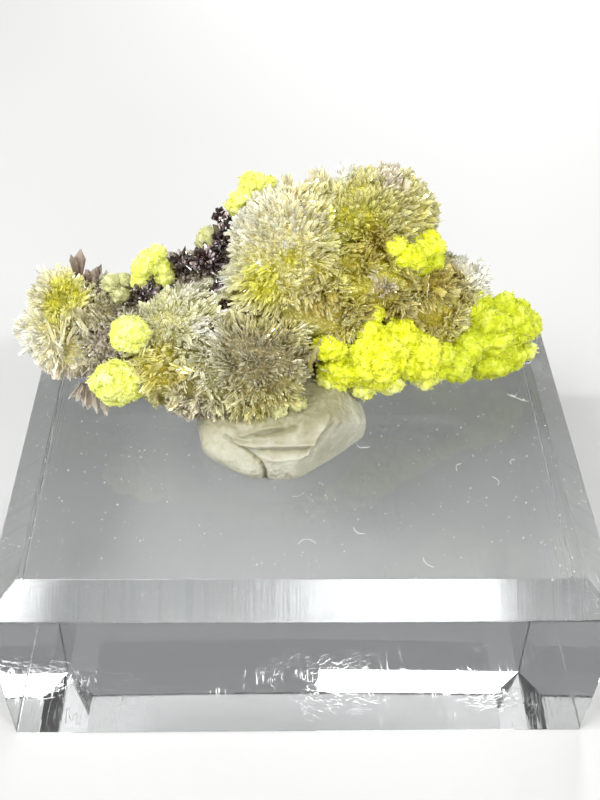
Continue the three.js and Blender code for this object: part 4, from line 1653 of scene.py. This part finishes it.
# Ridges and grooves pressed into the tack: points along each, then its width and height.
TACK_STROKES = [
    (
        (
            (-4.4, -2.7, 14.0),
            (-3.1, -3.5, 13.8),
            (-2.3, -4.0, 13.3),
            (-2.0, -4.1, 12.7),
            (-2.0, -4.0, 12.0),
        ),
        0.1,
        -0.34,
    ),
    (((-5.1, -2.4, 12.7), (-4.2, -3.2, 12.9), (-2.9, -3.9, 12.6)), 0.65, 0.34),
    (((-3.7, -3.2, 13.95), (-2.5, -3.6, 14.1), (-0.9, -3.7, 14.25), (0.6, -3.5, 14.1)), 0.17, 0.26),
    (((-2.2, -3.8, 13.85), (-1.4, -3.9, 13.85), (0.2, -3.8, 13.8)), 0.22, -0.18),
    (((-2.0, -4.0, 13.6), (-1.6, -4.0, 13.45), (0.1, -3.9, 13.5)), 0.16, 0.12),
    (((-3.3, -3.0, 14.35), (-3.0, -3.1, 14.5), (-2.2, -3.1, 14.85), (-1.2, -3.0, 15.0)), 0.16, 0.22),
    (((-2.5, -3.3, 14.5), (-2.1, -3.4, 14.55), (-1.1, -3.3, 14.75), (-0.4, -3.1, 14.9)), 0.17, -0.24),
    (((-3.9, -3.0, 14.2), (-3.2, -3.3, 14.25), (-1.9, -3.5, 14.4)), 0.12, -0.12),
    (((-5.7, -1.0, 12.9), (-4.8, -2.2, 14.0), (-3.8, -2.7, 14.4)), 0.3, -0.13),
    (((-5.7, -0.7, 13.4), (-4.7, -1.8, 14.4), (-3.7, -2.5, 14.7)), 0.25, 0.09),
    (((1.4, -2.2, 14.9), (1.0, -2.9, 14.5), (0.6, -3.5, 14.0), (0.4, -3.8, 13.5)), 0.14, 0.22),
    (((1.7, -2.4, 14.6), (1.3, -3.0, 14.2), (0.9, -3.5, 13.7)), 0.2, -0.16),
    (((-0.6, -2.7, 15.1), (0.3, -2.7, 15.0), (1.4, -2.2, 14.9)), 0.12, -0.06),
    # A deep groove where the low rosette meets the tack, darkened as painted contact shadow.
    (((-1.0, -2.0, 15.1), (-0.3, -1.35, 15.1), (0.4, -0.5, 15.2), (1.0, 0.3, 15.2)), 0.32, -0.42),
]
# Flats pressed into the tack: the way each faces and how deep it was pressed.
TACK_FLATS = [
    ((0.64, -0.77, 0.0), 0.85),
    ((0.1, -0.8, 0.6), 0.3),
    ((-0.5, -0.5, 0.7), 0.3),
    ((0.75, -0.2, 0.6), 0.35),
]
FLATNESS = 0.82
TACK_PINCH = ((-2.4, -3.9, 13.3), (-2.0, -4.1, 12.6), (-0.9, -4.1, 12.2))
PINCH_WIDTH = 0.4
TACK_RELIEF = ((0.1, 2.2, 21), (0.045, 0.9, 22))
# Fine wrinkles: size and height, and how much higher they are at the pinch.
WRINKLE_SIZE = 0.2
WRINKLES = 0.014
PINCHED_WRINKLES = 0.07
# The putty's top flattens out under the specimen, over this height.
TACK_TOP = 15.3
TOP_ROUND = 0.5
# Grooves darken with their depth, as painted shade. Painted shade under the specimen, partly
# real soil, starts and is full at these heights, less at the left end, from this place on, by
# this much a millimetre.
GROOVE_SHADE = -4
SHADE_AND_SOIL_START = 13.7
SHADE_AND_SOIL_FULL = 15.1
SHADE_AND_SOIL_SHARE = 0.85
SHADE_AND_SOIL_EDGE = ((0.45, 0.8, 24),)
SHADE_AND_SOIL_LEFT = -3
SHADE_AND_SOIL_SLOPE = 0.5


def route_distance(points, route):
    """Each point's distance from a route of straight stretches."""
    best = np.full(len(points), np.inf)
    for start, end in zip(route[:-1], route[1:]):
        start = np.array(start)
        stretch = np.array(end) - start
        share = np.clip((points - start) @ stretch / (stretch @ stretch), 0, 1)
        away = points - (start + share[:, None] * stretch)
        best = np.minimum(best, np.linalg.norm(away, axis=1))
    return best


def stroke_share(points, route, width):
    """1 on the route and falling softly to 0 about two widths away."""
    return np.exp(-((route_distance(points, route) / width) ** 2))


def press_flats(points, centre, radii):
    """Presses flats into the putty, each a little rounded over."""
    for facing, depth in TACK_FLATS:
        facing = unit(np.array(facing))
        reach = centre @ facing + np.linalg.norm(radii * facing) - depth
        over = np.maximum(points @ facing - reach, 0)
        points = points - FLATNESS * over[:, None] * facing
    return points


def flatten_top(points):
    """Keeps the putty under its top and on the block."""
    shoulder = TACK_TOP - TOP_ROUND
    over = np.maximum(points[:, 2] - shoulder, 0)
    level = shoulder + TOP_ROUND * (1 - np.exp(-over / TOP_ROUND))
    height = np.where(over > 0, level, points[:, 2])
    return np.column_stack([points[:, :2], np.maximum(height, BLOCK_TOP + 0.01)])


def build_tack(tack):
    """A lump of putty squeezed flat on the block, with folds and flats pressed into it."""
    ball, faces = ball_form(7)
    ball = unit(ball)
    radii = np.array(TACK_RADII)
    centre = over_block(TACK_CENTRE)
    points = centre + ball * radii
    outward = unit(ball / radii)
    rise = relief(points, TACK_RELIEF)
    # Each groove is darkened by painted shade as deep as it is.
    painted_groove_shade = np.zeros(len(points))
    for route, width, height in TACK_STROKES:
        stroke = stroke_share(points, route, width)
        rise += height * stroke
        painted_groove_shade = np.maximum(painted_groove_shade, stroke * min(1, GROOVE_SHADE * height))
    pinched = stroke_share(points, TACK_PINCH, PINCH_WIDTH)
    rise += (WRINKLES + PINCHED_WRINKLES * pinched) * hills(points, WRINKLE_SIZE, 23)
    points = flatten_top(press_flats(points, centre, radii) + outward * rise[:, None])
    # Painted shade on the top under the specimen's overhang, reaching lower at the left end, partly
    # real soil.
    leftward = np.maximum(SHADE_AND_SOIL_LEFT - points[:, 0], 0)
    shaded_and_soiled = points[:, 2] + SHADE_AND_SOIL_SLOPE * leftward + relief(points, SHADE_AND_SOIL_EDGE)
    top_shade_and_soil = SHADE_AND_SOIL_SHARE * smooth_step(SHADE_AND_SOIL_START, SHADE_AND_SOIL_FULL, shaded_and_soiled)
    lump = Build()
    lump.add(points, faces, smooth=True, fold_depth=np.maximum(painted_groove_shade, top_shade_and_soil))
    lump.piece("mineral_tack_lump", [tack], "mineral_tack", "cream_tack")


# ---- Block ----

# The bevel goes this far in and this far down. The polished edges are this round.
BEVEL_IN = 1.66
BEVEL_DOWN = 1.37
EDGE_ROUND = 0.07

# Dust: how many specks, their middle size and its spread, and their least and greatest size.
DUST_COUNT = 900
DUST_SIZE = 0.06
DUST_SPREAD = 0.45
DUST_LIMITS = (0.02, 0.13)
DUST_FLATNESS = (1, 1, 0.7)
DUST_SUNK = 0.005
# Lint: how many curled hairs, of how many steps, how long a step is, and how thick they are.
LINT_COUNT = 14
LINT_STEPS = 9
LINT_STEP = (0.05, 0.15)
LINT_THICKNESS = 0.035
LINT_RISE = 0.02
# Dirt keeps this far from the block's sides.
SIDE_KEPT = 0.2


def rest_on_block(places):
    """Sets flat places down on the block's top or on its bevel."""
    beyond = np.max(np.abs(places) - (block_high[:2] - BEVEL_IN), axis=1)
    height = BLOCK_TOP - np.maximum(beyond, 0) * BEVEL_DOWN / BEVEL_IN
    return np.column_stack([places, height])


def add_fibre(build, route, thickness):
    """A closed three-sided hair along a route."""
    along = unit(np.gradient(route, axis=0))
    across = unit(np.cross(along, (0, 0, 1.0)))
    upward = np.cross(across, along)
    rings = []
    for turn in (0, 2 * math.pi / 3, 4 * math.pi / 3):
        rings.append(route + thickness / 2 * (math.cos(turn) * across + math.sin(turn) * upward))
    corners = np.stack(rings, axis=1).reshape(-1, 3)
    faces = [[0, 2, 1], [len(corners) - 3, len(corners) - 2, len(corners) - 1]]
    for step in range(len(route) - 1):
        for side in range(3):
            after = (side + 1) % 3
            ring = 3 * step
            faces.append([ring + side, ring + after, ring + 3 + after, ring + 3 + side])
    build.add(corners, faces, material=1)


def add_specks(build, reach, chance):
    """Specks of dust on the block, away from the tack."""
    specks = rest_on_block(chance.uniform(-1, 1, (DUST_COUNT, 2)) * reach)
    specks = specks[~inside(specks[:, :2], np.array(TACK_CENTRE[:2]), np.array(TACK_RADII[:2]))]
    sizes = chance.lognormal(math.log(DUST_SIZE), DUST_SPREAD, (len(specks), 3))
    sizes = np.clip(sizes, *DUST_LIMITS) * DUST_FLATNESS
    upright = np.repeat([[0.0, 0.0, 1.0]], len(specks), 0)
    facing = sideways(upright, chance)
    corners, faces, _ = set_forms(SPECK, specks - (0, 0, DUST_SUNK), upright, facing, sizes)
    build.add(corners, faces, material=1)


def add_dust(build):
    """Specks of dust and curled lint on the block's top and bevels."""
    chance = np.random.default_rng(5)
    reach = block_high[:2] - SIDE_KEPT
    add_specks(build, reach, chance)
    for start in chance.uniform(-0.8, 0.8, (LINT_COUNT, 2)) * reach:
        turn = chance.uniform(0, 2 * math.pi) + np.cumsum(chance.normal(0.2, 0.25, LINT_STEPS))
        steps = np.column_stack([np.cos(turn), np.sin(turn)]) * chance.uniform(*LINT_STEP)
        route = rest_on_block(start + np.cumsum(steps, axis=0)) + (0, 0, LINT_RISE)
        add_fibre(build, route, LINT_THICKNESS)


def bevelled_block():
    """The block's corners and faces: a bevelled top and edges broken by polishing."""
    loops = [(block_low[2], 0), (BLOCK_TOP - BEVEL_DOWN, 0), (BLOCK_TOP, BEVEL_IN)]
    block = bmesh.new()
    rings = []
    for height, inset in loops:
        low = block_low[:2] + inset
        high = block_high[:2] - inset
        corners = [(low[0], low[1]), (high[0], low[1]), (high[0], high[1]), (low[0], high[1])]
        rings.append([block.verts.new((x, y, height)) for x, y in corners])
    block.faces.new(rings[0][::-1])
    for lower, upper in zip(rings[:-1], rings[1:]):
        for side in range(4):
            after = (side + 1) % 4
            block.faces.new((lower[side], lower[after], upper[after], upper[side]))
    block.faces.new(rings[-1])
    bmesh.ops.bevel(
        block, geom=block.edges[:], offset=EDGE_ROUND, segments=2, affect="EDGES", profile=0.5
    )
    return plain_mesh(block)


def build_block(acrylic, dust):
    """The clear block, dusty on top."""
    block = Build()
    block.add(*bevelled_block())
    add_dust(block)
    block.piece("acrylic_block", [acrylic, dust], "display_block", "clear_acrylic")


def add_floor():
    corners = np.array([(-1, -1, 0), (1, -1, 0), (1, 1, 0), (-1, 1, 0)]) * FLOOR_HALF
    mesh = new_mesh("floor", corners - (0, 0, FLOOR_DROP), [[0, 1, 2, 3]])
    mesh.materials.append(floor_material())
    floor = bpy.data.objects.new("floor", mesh)
    bpy.context.scene.collection.objects.link(floor)


add_camera()
add_lights()
add_floor()
build_block(acrylic_material(), dust_material())
build_tack(tack_material())
glassy_laths = lath_material()
build_rosettes(glassy_laths, crystal_mass_material())
rock_chance = np.random.default_rng(11)
build_rock(rock_material(), glassy_laths, rock_chance)
build_dark_crystals(dark_crystal_material(), rock_chance)
build_crusts([crust_material("sugary_crust", 0.4), crust_material("crust_flakes", 0.0)])
